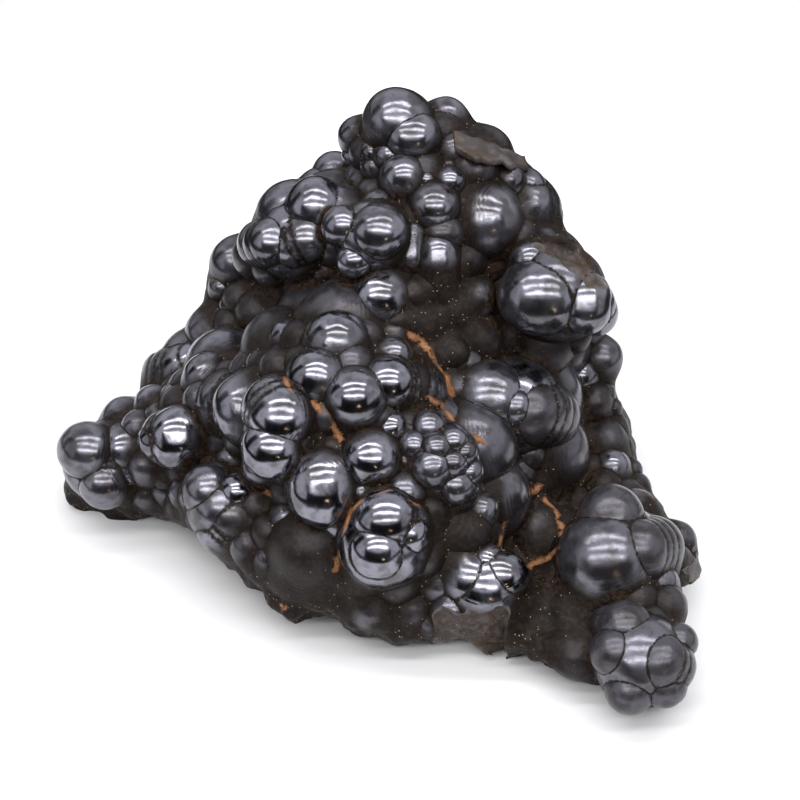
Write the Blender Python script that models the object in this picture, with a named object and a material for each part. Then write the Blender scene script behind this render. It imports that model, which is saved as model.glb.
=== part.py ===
"""Botryoidal hematite: one natural mass of grape-like lobes, built as one closed solid.

The mass is a body of blunt ridges, a crust of round lobes that grew out of it, and the breaks where it came
away from its rock: a rough arched underside that leaves a few feet, and chips on single lobes.

A lobe is given by where it shows in the photograph, in pixels of its 800 x 800 frame, and is seated along that
line of sight on the surface that it grows from. FRAME_WIDTH is the real size that all of it follows.
"""

import math
import random

import bmesh
import bpy
from mathutils import Matrix, Vector, noise
from mathutils.bvhtree import BVHTree

MM = 0.001

# The photograph's view, which turns a pixel and a depth into a place.
FRAME_PX = 800
FRAME_WIDTH = 112 * MM  # real width that the photograph spans at LOOK_AT
VIEW_DISTANCE = 450 * MM
VIEW_ELEVATION = math.radians(40)
LOOK_AT = Vector((3.2, 1.0, 25)) * MM  # what the middle of the photograph looks at

PX = FRAME_WIDTH / FRAME_PX
RIGHT = Vector((1, 0, 0))
UP = Vector((0, math.sin(VIEW_ELEVATION), math.cos(VIEW_ELEVATION)))
TOWARD = Vector((0, -math.cos(VIEW_ELEVATION), math.sin(VIEW_ELEVATION)))
EYE = LOOK_AT + TOWARD * VIEW_DISTANCE

# Ridges of the body: two ends, each as x, y in pixels, depth towards the eye in mm, radius in pixels.
RIDGES = {
    "mound": ((345, 420, 0, 105), (400, 520, 2, 95)),
    "spine": ((400, 400, -8, 100), (430, 205, -6, 72)),
    "crown": ((405, 150, -5, 48), (455, 180, -6, 58)),
    "crown_right": ((455, 180, -6, 58), (503, 198, -8, 42)),
    "brow": ((285, 245, -9, 40), (390, 240, 0, 42)),
    "recess": ((260, 325, -21, 48), (350, 305, -12, 48)),
    "left_shoulder": ((240, 290, -22, 36), (345, 205, -17, 42)),
    "left_wing": ((250, 425, -8, 66), (115, 468, -18, 38)),
    "left_back": ((215, 355, -25, 38), (300, 335, -20, 60)),
    "knob_neck": ((500, 330, -13, 58), (560, 297, -4, 42)),
    "crown_neck": ((470, 275, -12, 45), (535, 262, -12, 26)),
    "knob_bridge": ((495, 242, -7, 34), (545, 262, -5, 36)),
    "knob_touch": ((505, 236, 0, 16), (528, 252, 0, 16)),
    "right_back": ((570, 350, -18, 34), (610, 480, -16, 26)),
    "right_middle": ((500, 415, -6, 58), (515, 480, -8, 45)),
    "right_leg": ((610, 565, 2, 44), (640, 662, 11, 38)),
    "leg_root": ((610, 565, 2, 40), (530, 560, -10, 54)),
    "leg_edge": ((640, 530, -5, 26), (652, 610, 6, 28)),
    "leg_shard": ((668, 570, 0, 20), (694, 571, -1, 11)),
    "valley": ((500, 560, -12, 62), (590, 500, -16, 46)),
    "valley_side": ((595, 505, -14, 48), (590, 430, -21, 40)),
    "valley_floor": ((530, 595, -4, 46), (600, 640, 4, 36)),
    "front_foot": ((480, 590, 4, 36), (400, 560, 3, 55)),
    "lower_left": ((305, 540, 2, 58), (225, 500, -6, 45)),
    "rim_corner": ((92, 486, -20, 24), (190, 498, -12, 26)),
    "rim_left": ((228, 520, -5, 26), (300, 588, 2, 30)),
    "rim_front": ((300, 588, 2, 32), (400, 606, 6, 32)),
    "rim_right": ((400, 606, 6, 32), (505, 613, 6, 36)),
    "rim_leg": ((505, 613, 4, 36), (600, 651, 9, 30)),
    "core_high": ((330, 330, -24, 92), (455, 300, -22, 84)),
    "core_low": ((260, 440, -24, 60), (540, 470, -24, 66)),
    "core_floor": ((290, 500, -14, 62), (490, 545, -14, 62)),
    "left_fill": ((210, 405, -22, 50), (155, 440, -21, 42)),
    "leg_back": ((636, 525, -9, 32), (585, 530, -15, 48)),
    "recess_floor": ((498, 515, -9, 42), (515, 580, -5, 42)),
    "recess_back": ((520, 495, -13, 42), (567, 525, -13, 44)),
    "back_high": ((390, 262, -20, 74), (475, 285, -20, 68)),
    "back_fill": ((335, 252, -30, 52), (410, 255, -30, 55)),
    "crown_back": ((440, 215, -18, 50), (500, 250, -20, 45)),
    "valley_crease": ((545, 440, -15, 40), (560, 490, -15, 40)),
    "valley_head": ((555, 390, -20, 48), (575, 440, -20, 42)),
    "back_left": ((270, 375, -31, 62), (400, 363, -32, 88)),
    "back_right": ((400, 363, -32, 88), (543, 400, -27, 64)),
}

# Lobes that grow on the body: x, y and radius in pixels, and how far the centre stands out, in radii.
LARGE_LOBES = {
    "crown": ((400, 125, 31, 0.0), (489, 221, 30, 0.3)),
    "brow": ((372, 236, 33, 0.1), (296, 240, 36, 0.0), (332, 214, 28, 0.0)),
    "left_corner": ((99, 459, 36, 0.0),),
    "left_wing": ((180, 438, 28, 0.1), (246, 408, 31, 0.2), (281, 432, 34, 0.2), (190, 361, 28, -0.1)),
    "left_back": ((293, 215, 33, -0.1), (211, 333, 24, -0.1)),
    "front": ((323, 487, 32, 0.35), (385, 552, 38, 0.1), (308, 552, 34, 0.0), (485, 588, 34, 0.1)),
    "centre": ((440, 460, 37, 0.1), (512, 407, 45, -0.4)),
    "right": ((558, 292, 50, -0.1), (612, 560, 46, 0.0), (642, 660, 44, 0.0)),
}

# Lobes that grow on the body and on the large lobes, in the same form.
SMALL_LOBES = {
    "crown": (
        (362, 138, 19, 0.0), (355, 157, 12, 0.0), (411, 134, 20, -0.4), (418, 152, 10, 0.0), (446, 119, 20, 0.0),
        (379, 151, 11, 0.0), (371, 168, 12, 0.0), (402, 180, 22, 0.1), (437, 208, 21, 0.2), (452, 185, 14, 0.2),
        (477, 172, 21, 0.1), (524, 203, 17, 0.0), (534, 184, 13, 0.0), (541, 216, 20, -0.1), (488, 154, 26, -0.3),
        (505, 165, 18, -0.2),
    ),
    "brow": (
        (378, 234, 26, -0.6), (343, 228, 19, -0.2), (352, 256, 15, -0.2), (306, 244, 24, -0.5),
        (275, 238, 25, -0.5), (413, 238, 13, 0.0), (413, 258, 11, 0.0), (440, 252, 18, 0.2), (330, 277, 14, 0.0),
        (318, 190, 20, -0.1), (334, 172, 19, -0.1),
    ),
    "left_shoulder": (
        (240, 262, 21, 0.0), (217, 261, 12, -0.1), (222, 287, 13, 0.0), (258, 312, 20, 0.0), (232, 306, 12, 0.0),
        (231, 346, 13, 0.0), (241, 358, 13, 0.0), (258, 343, 14, -0.1),
    ),
    "left_tiers": (
        (207, 380, 24, 0.0), (192, 372, 28, -0.5), (168, 372, 12, 0.0), (161, 406, 20, 0.1), (173, 396, 12, 0.0),
        (124, 420, 22, -0.1), (288, 338, 18, 0.0), (280, 368, 19, -0.1),
    ),
    "left_corner": (
        (86, 450, 25, -0.5), (108, 474, 26, -0.5), (130, 440, 14, -0.1), (131, 463, 14, 0.0), (147, 495, 13, 0.0),
        (166, 490, 12, 0.0), (183, 492, 14, 0.0),
    ),
    "left_front": (
        (180, 428, 22, -0.55), (183, 449, 22, -0.5), (158, 442, 17, 0.0), (204, 430, 12, -0.1), (206, 452, 14, -0.1),
        (235, 459, 18, 0.1), (285, 418, 29, -0.65), (277, 449, 31, -0.55), (326, 472, 26, -0.6),
        (323, 494, 31, -0.7), (218, 493, 18, 0.1), (229, 511, 20, 0.1), (262, 492, 15, -0.1), (270, 532, 17, -0.2),
    ),
    "centre": (
        (338, 343, 27, 0.1), (316, 378, 26, 0.1), (357, 400, 26, 0.2), (393, 384, 24, 0.2), (411, 386, 20, -0.2),
        (381, 301, 26, 0.3), (390, 318, 20, 0.0), (390, 424, 16, 0.1), (368, 424, 11, 0.1), (370, 460, 27, 0.2),
        (395, 525, 26, -0.5), (381, 551, 24, -0.55),
    ),
    "cauliflower": (
        (407, 460, 12, 0.0), (408, 474, 11, 0.0), (429, 425, 15, -0.2), (415, 447, 14, -0.2), (443, 450, 17, -0.4),
        (432, 468, 19, -0.4), (454, 484, 20, -0.4), (466, 448, 13, -0.3), (468, 464, 12, -0.3),
    ),
    "right_middle": (
        (488, 394, 25, -0.1), (510, 403, 14, -0.3), (488, 418, 20, -0.3), (540, 408, 30, -0.5), (501, 453, 20, 0.0),
        (512, 469, 20, 0.1), (459, 355, 15, 0.0), (482, 333, 22, 0.0), (492, 350, 12, 0.1), (545, 352, 27, -0.1),
        (560, 385, 18, 0.0), (600, 358, 21, 0.0), (470, 541, 27, -0.3),
    ),
    "right_knob": (
        (529, 259, 19, -0.4), (529, 292, 27, -0.55), (556, 292, 25, -0.65), (584, 300, 24, -0.45),
        (563, 256, 20, -0.5), (542, 243, 15, -0.2), (594, 312, 24, -0.4),
    ),
    "right_valley": (
        (565, 473, 20, 0.0), (590, 468, 14, 0.0), (604, 486, 16, 0.0), (537, 532, 22, 0.3), (560, 578, 18, 0.0),
        (570, 412, 14, 0.0), (578, 500, 12, 0.0),
    ),
    "right_ridge": (
        (637, 487, 13, 0.1), (632, 470, 10, 0.1), (605, 442, 20, 0.0), (608, 428, 10, 0.1), (600, 412, 10, 0.1),
        (613, 408, 9, 0.0), (623, 446, 9, 0.0), (604, 394, 11, 0.0),
    ),
    "right_leg": (
        (609, 563, 28, -0.7), (612, 522, 26, -0.3), (672, 546, 23, 0.0), (662, 606, 20, 0.0), (632, 627, 21, -0.3),
        (627, 651, 20, -0.4), (657, 662, 24, -0.5), (622, 690, 17, -0.1), (644, 697, 17, -0.1), (577, 655, 20, 0.0),
        (676, 640, 18, -0.1), (668, 678, 22, -0.2),
    ),
    "front_right": ((470, 580, 21, -0.45), (499, 573, 19, -0.4), (490, 593, 21, -0.5)),
}

# Lobes on the sides and back, which the photograph doesn't show: the larger first, in even directions about
# the middle of the mass.
HIDDEN_MIDDLE = Vector((0, 4, 18)) * MM
HIDDEN_RADII = (6.0 * MM, 5.0 * MM, 4.2 * MM, 3.5 * MM, 2.9 * MM, 2.3 * MM)
HIDDEN_TRIES = 500  # for each of the sizes
HIDDEN_SPREAD = (0.9, 1.1)  # of the size
HIDDEN_RISE = (-0.3, 0.05)
HIDDEN_SPACING = 0.6  # of the two radii that meet
HIDDEN_FACING = 0.2  # what turns further towards the eye than this is in the photograph's view
HIDDEN_LOWEST = 7 * MM
HIDDEN_SEED = 4
RIM_CHECKS = 10

# The breaks: rough faces, each as a point of it in mm, the way that it faces, and how far its bumps rise in mm.
BREAKS = {
    "back_left": ((-20, 28, 14), (-0.5, 0.82, -0.3), 3.2),
    "back_middle": ((4, 35, 12), (0.1, 0.94, -0.32), 3.2),
    "back_right": ((28, 28, 13), (0.66, 0.7, -0.25), 3.2),
}
# Chips: a flat fresh face each, as x, y in pixels, depth under the surface in mm, way it faces, half width in mm.
CHIPS = {
    "knob_top": (572, 258, 1.2, (0.45, 0.25, 0.86), 4.5),
    "front_low": (470, 632, 1.0, (0.05, -0.95, -0.3), 5.2),
    "leg_end": (700, 572, 1.0, (0.9, -0.3, 0.3), 3.0),
}
BREAK_STEP = 1.8 * MM
BREAK_GRAIN = 9 * MM
FINE_GRAIN = 1 / 2.3  # of BREAK_GRAIN, for the smaller bumps on the large ones
FINE_SHARE = 0.5  # of the height of the large bumps

# The broken underside stands clear of the floor except at the feet.
ARCH_HEIGHT = 5.5 * MM
FOOT_DEPTH = 8 * MM
FOOT_REACH = 11 * MM
FEET = ((-41, 5), (33, -34), (8, -27), (10, 30), (-22, 22))  # x, y in mm
ARCH_ROUGHNESS = 2 * MM
BASE_CUT = 0.4 * MM  # what the flat foot faces take off

METAL_GREY = (0.12, 0.12, 0.145, 1)
METALLIC = 0.9
GLOSS_ROUGHNESS = 0.3

VOXEL = 0.65 * MM
KEPT_SHARE = 0.068  # of the triangles that the voxels give
FAR = 70 * MM  # past the mass on every side
BALL_DETAIL = 3
EVEN_TURN = math.radians(137.5)
SIGHT_STEPS = range(-40, 61)  # mm beyond LOOK_AT where a line of sight that misses is tried


def clear_scene():
    for obj in list(bpy.data.objects):
        bpy.data.objects.remove(obj)


def place(x, y, depth):
    """The point seen at pixel x, y that stands this many mm in front of LOOK_AT."""
    shrink = 1 - depth * MM / VIEW_DISTANCE
    across = (x - FRAME_PX / 2) * PX * shrink
    rise = (FRAME_PX / 2 - y) * PX * shrink
    return LOOK_AT + RIGHT * across + UP * rise + TOWARD * depth * MM


def real_radius(pixels, point):
    return pixels * PX * (EYE - point).dot(TOWARD) / VIEW_DISTANCE


def add_ball(bm, centre, radius):
    bmesh.ops.create_icosphere(bm, subdivisions=BALL_DETAIL, radius=radius, matrix=Matrix.Translation(centre))


def add_ridge(bm, ends):
    """The hull round two balls: a blunt ridge that tapers from one end to the other."""
    balls = bmesh.new()
    for x, y, depth, pixels in ends:
        centre = place(x, y, depth)
        add_ball(balls, centre, real_radius(pixels, centre))
    hull = [bm.verts.new(vertex.co) for vertex in balls.verts]
    balls.free()
    made = bmesh.ops.convex_hull(bm, input=hull)
    inner = [item for item in made["geom_interior"] if isinstance(item, bmesh.types.BMVert)]
    bmesh.ops.delete(bm, geom=inner, context="VERTS")


def tree_of(bm):
    bm.normal_update()
    return BVHTree.FromBMesh(bm)


def nearest_pass(tree, sight):
    """Where a line of sight that misses the surface passes closest to it."""
    steps = [VIEW_DISTANCE + offset * MM for offset in SIGHT_STEPS]
    points = [EYE + sight * step for step in steps]
    return min(points, key=lambda point: tree.find_nearest(point)[3])


def seat(tree, x, y, pixels, rise):
    """Centre and radius of the lobe seen at x, y, which stands on the first surface in that line of sight."""
    sight = (place(x, y, 0) - EYE).normalized()
    ground = tree.ray_cast(EYE, sight)[0] or nearest_pass(tree, sight)
    radius = real_radius(pixels, ground)
    return ground - sight * rise * radius, radius


def grow(bm, clusters):
    """Seats every lobe of these clusters on the surface made so far, then adds them to it."""
    tree = tree_of(bm)
    lobes = [seat(tree, *row) for rows in clusters.values() for row in rows]
    for centre, radius in lobes:
        add_ball(bm, centre, radius)
    return lobes


def even_direction(number, count):
    """One of a count of directions that are spread evenly about a point."""
    height = 1 - 2 * (number + 0.5) / count
    level = math.sqrt(1 - height * height)
    turn = number * EVEN_TURN
    return Vector((level * math.cos(turn), level * math.sin(turn), height))


def keeps_outline(tree, centre, radius):
    """Whether the mass is behind or before the whole of this lobe, as the eye sees it."""
    for number in range(RIM_CHECKS):
        turn = 2 * math.pi * number / RIM_CHECKS
        rim = centre + (RIGHT * math.cos(turn) + UP * math.sin(turn)) * radius
        if tree.ray_cast(EYE, (rim - EYE).normalized())[0] is None:
            return False
    return True


def hidden_lobes(body, mass, seen):
    """Lobes for the sides and back of the body, of seeded sizes, each clear enough of those before it."""
    draw = random.Random(HIDDEN_SEED)
    lobes = list(seen)
    for size in HIDDEN_RADII:
        for number in range(HIDDEN_TRIES):
            direction = even_direction(number, HIDDEN_TRIES)
            radius = size * draw.uniform(*HIDDEN_SPREAD)
            rise = draw.uniform(*HIDDEN_RISE)
            ground, normal = body.ray_cast(HIDDEN_MIDDLE + direction * 2 * FAR, -direction)[:2]
            if ground is None or ground.z < HIDDEN_LOWEST or normal.dot(TOWARD) > HIDDEN_FACING:
                continue
            centre = ground + normal * rise * radius
            apart = all((centre - other).length > HIDDEN_SPACING * (radius + past) for other, past in lobes)
            if apart and keeps_outline(mass, centre, radius):
                lobes.append((centre, radius))
    return lobes[len(seen):]


def roughness(x, y):
    """Bumps of a broken face, about -1 to 1."""
    large = noise.noise(Vector((x, y, 0)) / BREAK_GRAIN)
    fine = noise.noise(Vector((x, y, FAR)) / (BREAK_GRAIN * FINE_GRAIN))
    return large + FINE_SHARE * fine


def underside_height(x, y):
    """Height of the broken underside over the floor, which falls below it at the feet."""
    height = ARCH_HEIGHT
    for foot_x, foot_y in FEET:
        away = math.hypot(x - foot_x * MM, y - foot_y * MM) / FOOT_REACH
        height -= FOOT_DEPTH * math.exp(-away * away)
    return height + ARCH_ROUGHNESS * roughness(x, y)


def cutter(name, bm):
    mesh = bpy.data.meshes.new(name)
    bm.to_mesh(mesh)
    bm.free()
    obj = bpy.data.objects.new(name, mesh)
    obj.hide_render = True
    obj.display_type = "WIRE"
    bpy.context.scene.collection.objects.link(obj)
    return obj


def rough_block(name, height_at):
    """A block with a rough top at height_at(x, y), which takes off all that is under that."""
    bm = bmesh.new()
    segments = round(2 * FAR / BREAK_STEP)
    bmesh.ops.create_grid(bm, x_segments=segments, y_segments=segments, size=FAR)
    made = bmesh.ops.extrude_face_region(bm, geom=bm.faces[:])
    lower = {item for item in made["geom"] if isinstance(item, bmesh.types.BMVert)}
    for vertex in bm.verts:
        vertex.co.z = -FAR if vertex in lower else height_at(vertex.co.x, vertex.co.y)
    bmesh.ops.recalc_face_normals(bm, faces=bm.faces)
    return cutter(name, bm)


def break_cutters():
    """The underside's block, then a block for each break, turned so that its rough top looks inwards."""
    blocks = [rough_block("underside_cutter", underside_height)]
    for name, (point, facing, bumps) in BREAKS.items():
        block = rough_block(name + "_cutter", lambda x, y: bumps * MM * roughness(x, y))
        block.location = Vector(point) * MM
        block.rotation_euler = (-Vector(facing)).to_track_quat("Z", "Y").to_euler()
        blocks.append(block)
    return blocks


def chip_cutter(tree):
    """One cube for each chip, whose inner face is the fresh one."""
    bm = bmesh.new()
    for x, y, depth, facing, half in CHIPS.values():
        outward = Vector(facing).normalized()
        point = seat(tree, x, y, 0, 0)[0] + outward * (half - depth) * MM
        turn = outward.to_track_quat("Z", "Y").to_matrix().to_4x4()
        bmesh.ops.create_cube(bm, size=2 * half * MM, matrix=Matrix.Translation(point) @ turn)
    return cutter("chip_cutter", bm)


def drop_crumbs(bm):
    """Keeps only the largest connected part."""
    unseen = set(bm.verts)
    parts = []
    while unseen:
        part = [unseen.pop()]
        for vertex in part:
            beside = {edge.other_vert(vertex) for edge in vertex.link_edges} & unseen
            unseen -= beside
            part.extend(beside)
        parts.append(part)
    parts.sort(key=len)
    crumbs = [vertex for part in parts[:-1] for vertex in part]
    bmesh.ops.delete(bm, geom=crumbs, context="VERTS")


def flatten_feet(mesh):
    """Takes everything under the floor off, and closes the cuts with flat faces."""
    bm = bmesh.new()
    bm.from_mesh(mesh)
    everything = bm.verts[:] + bm.edges[:] + bm.faces[:]
    made = bmesh.ops.bisect_plane(bm, geom=everything, plane_co=(0, 0, BASE_CUT), plane_no=(0, 0, 1), clear_inner=True)
    rims = [item for item in made["geom_cut"] if isinstance(item, bmesh.types.BMEdge)]
    bmesh.ops.holes_fill(bm, edges=rims)
    drop_crumbs(bm)
    bmesh.ops.translate(bm, verts=bm.verts, vec=(0, 0, -BASE_CUT))
    bm.to_mesh(mesh)
    bm.free()


def merge_skins(obj, name):
    modifier = obj.modifiers.new(name, "REMESH")
    modifier.mode = "VOXEL"
    modifier.voxel_size = VOXEL


def cut(obj, other):
    modifier = obj.modifiers.new(other.name, "BOOLEAN")
    modifier.operation = "DIFFERENCE"
    modifier.object = other


def hematite_material():
    material = bpy.data.materials.new("hematite")
    material.use_nodes = True
    shader = material.node_tree.nodes["Principled BSDF"]
    shader.inputs["Base Color"].default_value = METAL_GREY
    shader.inputs["Metallic"].default_value = METALLIC
    shader.inputs["Roughness"].default_value = GLOSS_ROUGHNESS
    return material


def hematite_mass():
    bm = bmesh.new()
    for ends in RIDGES.values():
        add_ridge(bm, ends)
    body = tree_of(bm)
    seen = grow(bm, LARGE_LOBES) + grow(bm, SMALL_LOBES)
    for centre, radius in hidden_lobes(body, tree_of(bm), seen):
        add_ball(bm, centre, radius)
    crust = tree_of(bm)
    mesh = bpy.data.meshes.new("hematite_mass")
    bm.to_mesh(mesh)
    bm.free()
    mesh.materials.append(hematite_material())
    mass = bpy.data.objects.new("hematite_mass", mesh)
    bpy.context.scene.collection.objects.link(mass)
    merge_skins(mass, "one_skin")
    for block in [*break_cutters(), chip_cutter(crust)]:
        cut(mass, block)
    merge_skins(mass, "one_skin_again")
    fewer = mass.modifiers.new("fewer_faces", "DECIMATE")
    fewer.ratio = KEPT_SHARE
    settled = bpy.data.meshes.new_from_object(mass.evaluated_get(bpy.context.evaluated_depsgraph_get()))
    flatten_feet(settled)
    mass.modifiers.clear()
    mass.data = settled
    settled.name = "hematite_mass"


def main():
    clear_scene()
    hematite_mass()


main()
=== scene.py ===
"""Botryoidal hematite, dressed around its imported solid.

The mass is one signed distance in mm: ridges that melt together, lobes that stand on them where the solid
has them, and the breaks. A grid of it gives a fine mesh, whose points are then moved onto the surface, its
creases and its edges. The material reads where on its lobe each point is, how open it lies and where it is
broken.
"""

import math
import random

import bmesh
import bpy
import numpy as np
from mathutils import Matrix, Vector, noise
from mathutils.bvhtree import BVHTree

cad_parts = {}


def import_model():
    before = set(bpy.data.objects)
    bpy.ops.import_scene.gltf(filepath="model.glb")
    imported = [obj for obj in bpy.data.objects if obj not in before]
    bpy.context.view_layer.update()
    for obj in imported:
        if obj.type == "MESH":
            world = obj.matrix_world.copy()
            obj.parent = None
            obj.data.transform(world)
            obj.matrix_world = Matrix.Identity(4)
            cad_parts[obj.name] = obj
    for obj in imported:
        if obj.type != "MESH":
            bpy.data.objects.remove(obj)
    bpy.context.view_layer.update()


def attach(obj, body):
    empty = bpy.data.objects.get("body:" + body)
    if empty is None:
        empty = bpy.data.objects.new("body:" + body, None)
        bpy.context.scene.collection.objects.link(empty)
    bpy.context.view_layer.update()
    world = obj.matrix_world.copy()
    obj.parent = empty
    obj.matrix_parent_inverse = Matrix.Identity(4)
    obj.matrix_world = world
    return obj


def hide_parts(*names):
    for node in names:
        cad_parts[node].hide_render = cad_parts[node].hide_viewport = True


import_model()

MM = 0.001

# The photograph's view, which turns a pixel and a depth into a place.
FRAME_PX = 800
FRAME_WIDTH = 112 * MM  # real width that the photograph spans at LOOK_AT
VIEW_DISTANCE = 450 * MM
VIEW_ELEVATION = math.radians(40)
LOOK_AT = Vector((3.2, 1.0, 25)) * MM  # what the middle of the photograph looks at

PX = FRAME_WIDTH / FRAME_PX
RIGHT = Vector((1, 0, 0))
UP = Vector((0, math.sin(VIEW_ELEVATION), math.cos(VIEW_ELEVATION)))
TOWARD = Vector((0, -math.cos(VIEW_ELEVATION), math.sin(VIEW_ELEVATION)))
EYE = LOOK_AT + TOWARD * VIEW_DISTANCE

# Ridges of the body: two ends, each as x, y in pixels, depth towards the eye in mm, radius in pixels.
RIDGES = {
    "mound": ((345, 420, 0, 105), (400, 520, 2, 95)),
    "spine": ((400, 400, -8, 100), (430, 205, -6, 72)),
    "crown": ((405, 150, -5, 48), (455, 180, -6, 58)),
    "crown_right": ((455, 180, -6, 58), (503, 198, -8, 42)),
    "brow": ((285, 245, -9, 40), (390, 240, 0, 42)),
    "recess": ((260, 325, -21, 48), (350, 305, -12, 48)),
    "left_shoulder": ((240, 290, -22, 36), (345, 205, -17, 42)),
    "left_wing": ((250, 425, -8, 66), (115, 468, -18, 38)),
    "left_back": ((215, 355, -25, 38), (300, 335, -20, 60)),
    "knob_neck": ((500, 330, -13, 58), (560, 297, -4, 42)),
    "crown_neck": ((470, 275, -12, 45), (535, 262, -12, 26)),
    "knob_bridge": ((495, 242, -7, 34), (545, 262, -5, 36)),
    "knob_touch": ((505, 236, 0, 16), (528, 252, 0, 16)),
    "right_back": ((570, 350, -18, 34), (610, 480, -16, 26)),
    "right_middle": ((500, 415, -6, 58), (515, 480, -8, 45)),
    "right_leg": ((610, 565, 2, 44), (640, 662, 11, 38)),
    "leg_root": ((610, 565, 2, 40), (530, 560, -10, 54)),
    "leg_edge": ((640, 530, -5, 26), (652, 610, 6, 28)),
    "leg_shard": ((668, 570, 0, 20), (694, 571, -1, 11)),
    "valley": ((500, 560, -12, 62), (590, 500, -16, 46)),
    "valley_side": ((595, 505, -14, 48), (590, 430, -21, 40)),
    "valley_floor": ((530, 595, -4, 46), (600, 640, 4, 36)),
    "front_foot": ((480, 590, 4, 36), (400, 560, 3, 55)),
    "lower_left": ((305, 540, 2, 58), (225, 500, -6, 45)),
    "rim_corner": ((92, 486, -20, 24), (190, 498, -12, 26)),
    "rim_left": ((228, 520, -5, 26), (300, 588, 2, 30)),
    "rim_front": ((300, 588, 2, 32), (400, 606, 6, 32)),
    "rim_right": ((400, 606, 6, 32), (505, 613, 6, 36)),
    "rim_leg": ((505, 613, 4, 36), (600, 651, 9, 30)),
    "core_high": ((330, 330, -24, 92), (455, 300, -22, 84)),
    "core_low": ((260, 440, -24, 60), (540, 470, -24, 66)),
    "core_floor": ((290, 500, -14, 62), (490, 545, -14, 62)),
    "left_fill": ((210, 405, -22, 50), (155, 440, -21, 42)),
    "leg_back": ((636, 525, -9, 32), (585, 530, -15, 48)),
    "recess_floor": ((498, 515, -9, 42), (515, 580, -5, 42)),
    "recess_back": ((520, 495, -13, 42), (567, 525, -13, 44)),
    "back_high": ((390, 262, -20, 74), (475, 285, -20, 68)),
    "back_fill": ((335, 252, -30, 52), (410, 255, -30, 55)),
    "crown_back": ((440, 215, -18, 50), (500, 250, -20, 45)),
    "valley_crease": ((545, 440, -15, 40), (560, 490, -15, 40)),
    "valley_head": ((555, 390, -20, 48), (575, 440, -20, 42)),
    "back_left": ((270, 375, -31, 62), (400, 363, -32, 88)),
    "back_right": ((400, 363, -32, 88), (543, 400, -27, 64)),
}

# Lobes that grow on the body: x, y and radius in pixels, and how far the centre stands out, in radii.
LARGE_LOBES = {
    "crown": ((398, 121, 31, 0), (488, 219, 31, 0.3)),
    "brow": ((372, 236, 33, 0.1), (296, 240, 36, 0), (332, 214, 28, 0)),
    "left_corner": ((101, 461, 36, 0),),
    "left_wing": ((180, 438, 28, 0.1), (246, 408, 31, 0.2), (281, 432, 34, 0.2), (190, 361, 28, -0.1)),
    "left_back": ((293, 215, 33, -0.1), (211, 333, 24, -0.1)),
    "front": ((323, 487, 33, 0.25), (383, 543, 41, 0.05), (308, 548, 34, 0), (485, 588, 35, 0.1)),
    "centre": ((440, 460, 37, 0.1), (512, 407, 45, -0.4)),
    "right": ((556, 292, 45, -0.1), (607, 560, 46, 0), (640, 660, 42, 0)),
    "left_low": ((227, 508, 36, -0.2),),
}

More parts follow.
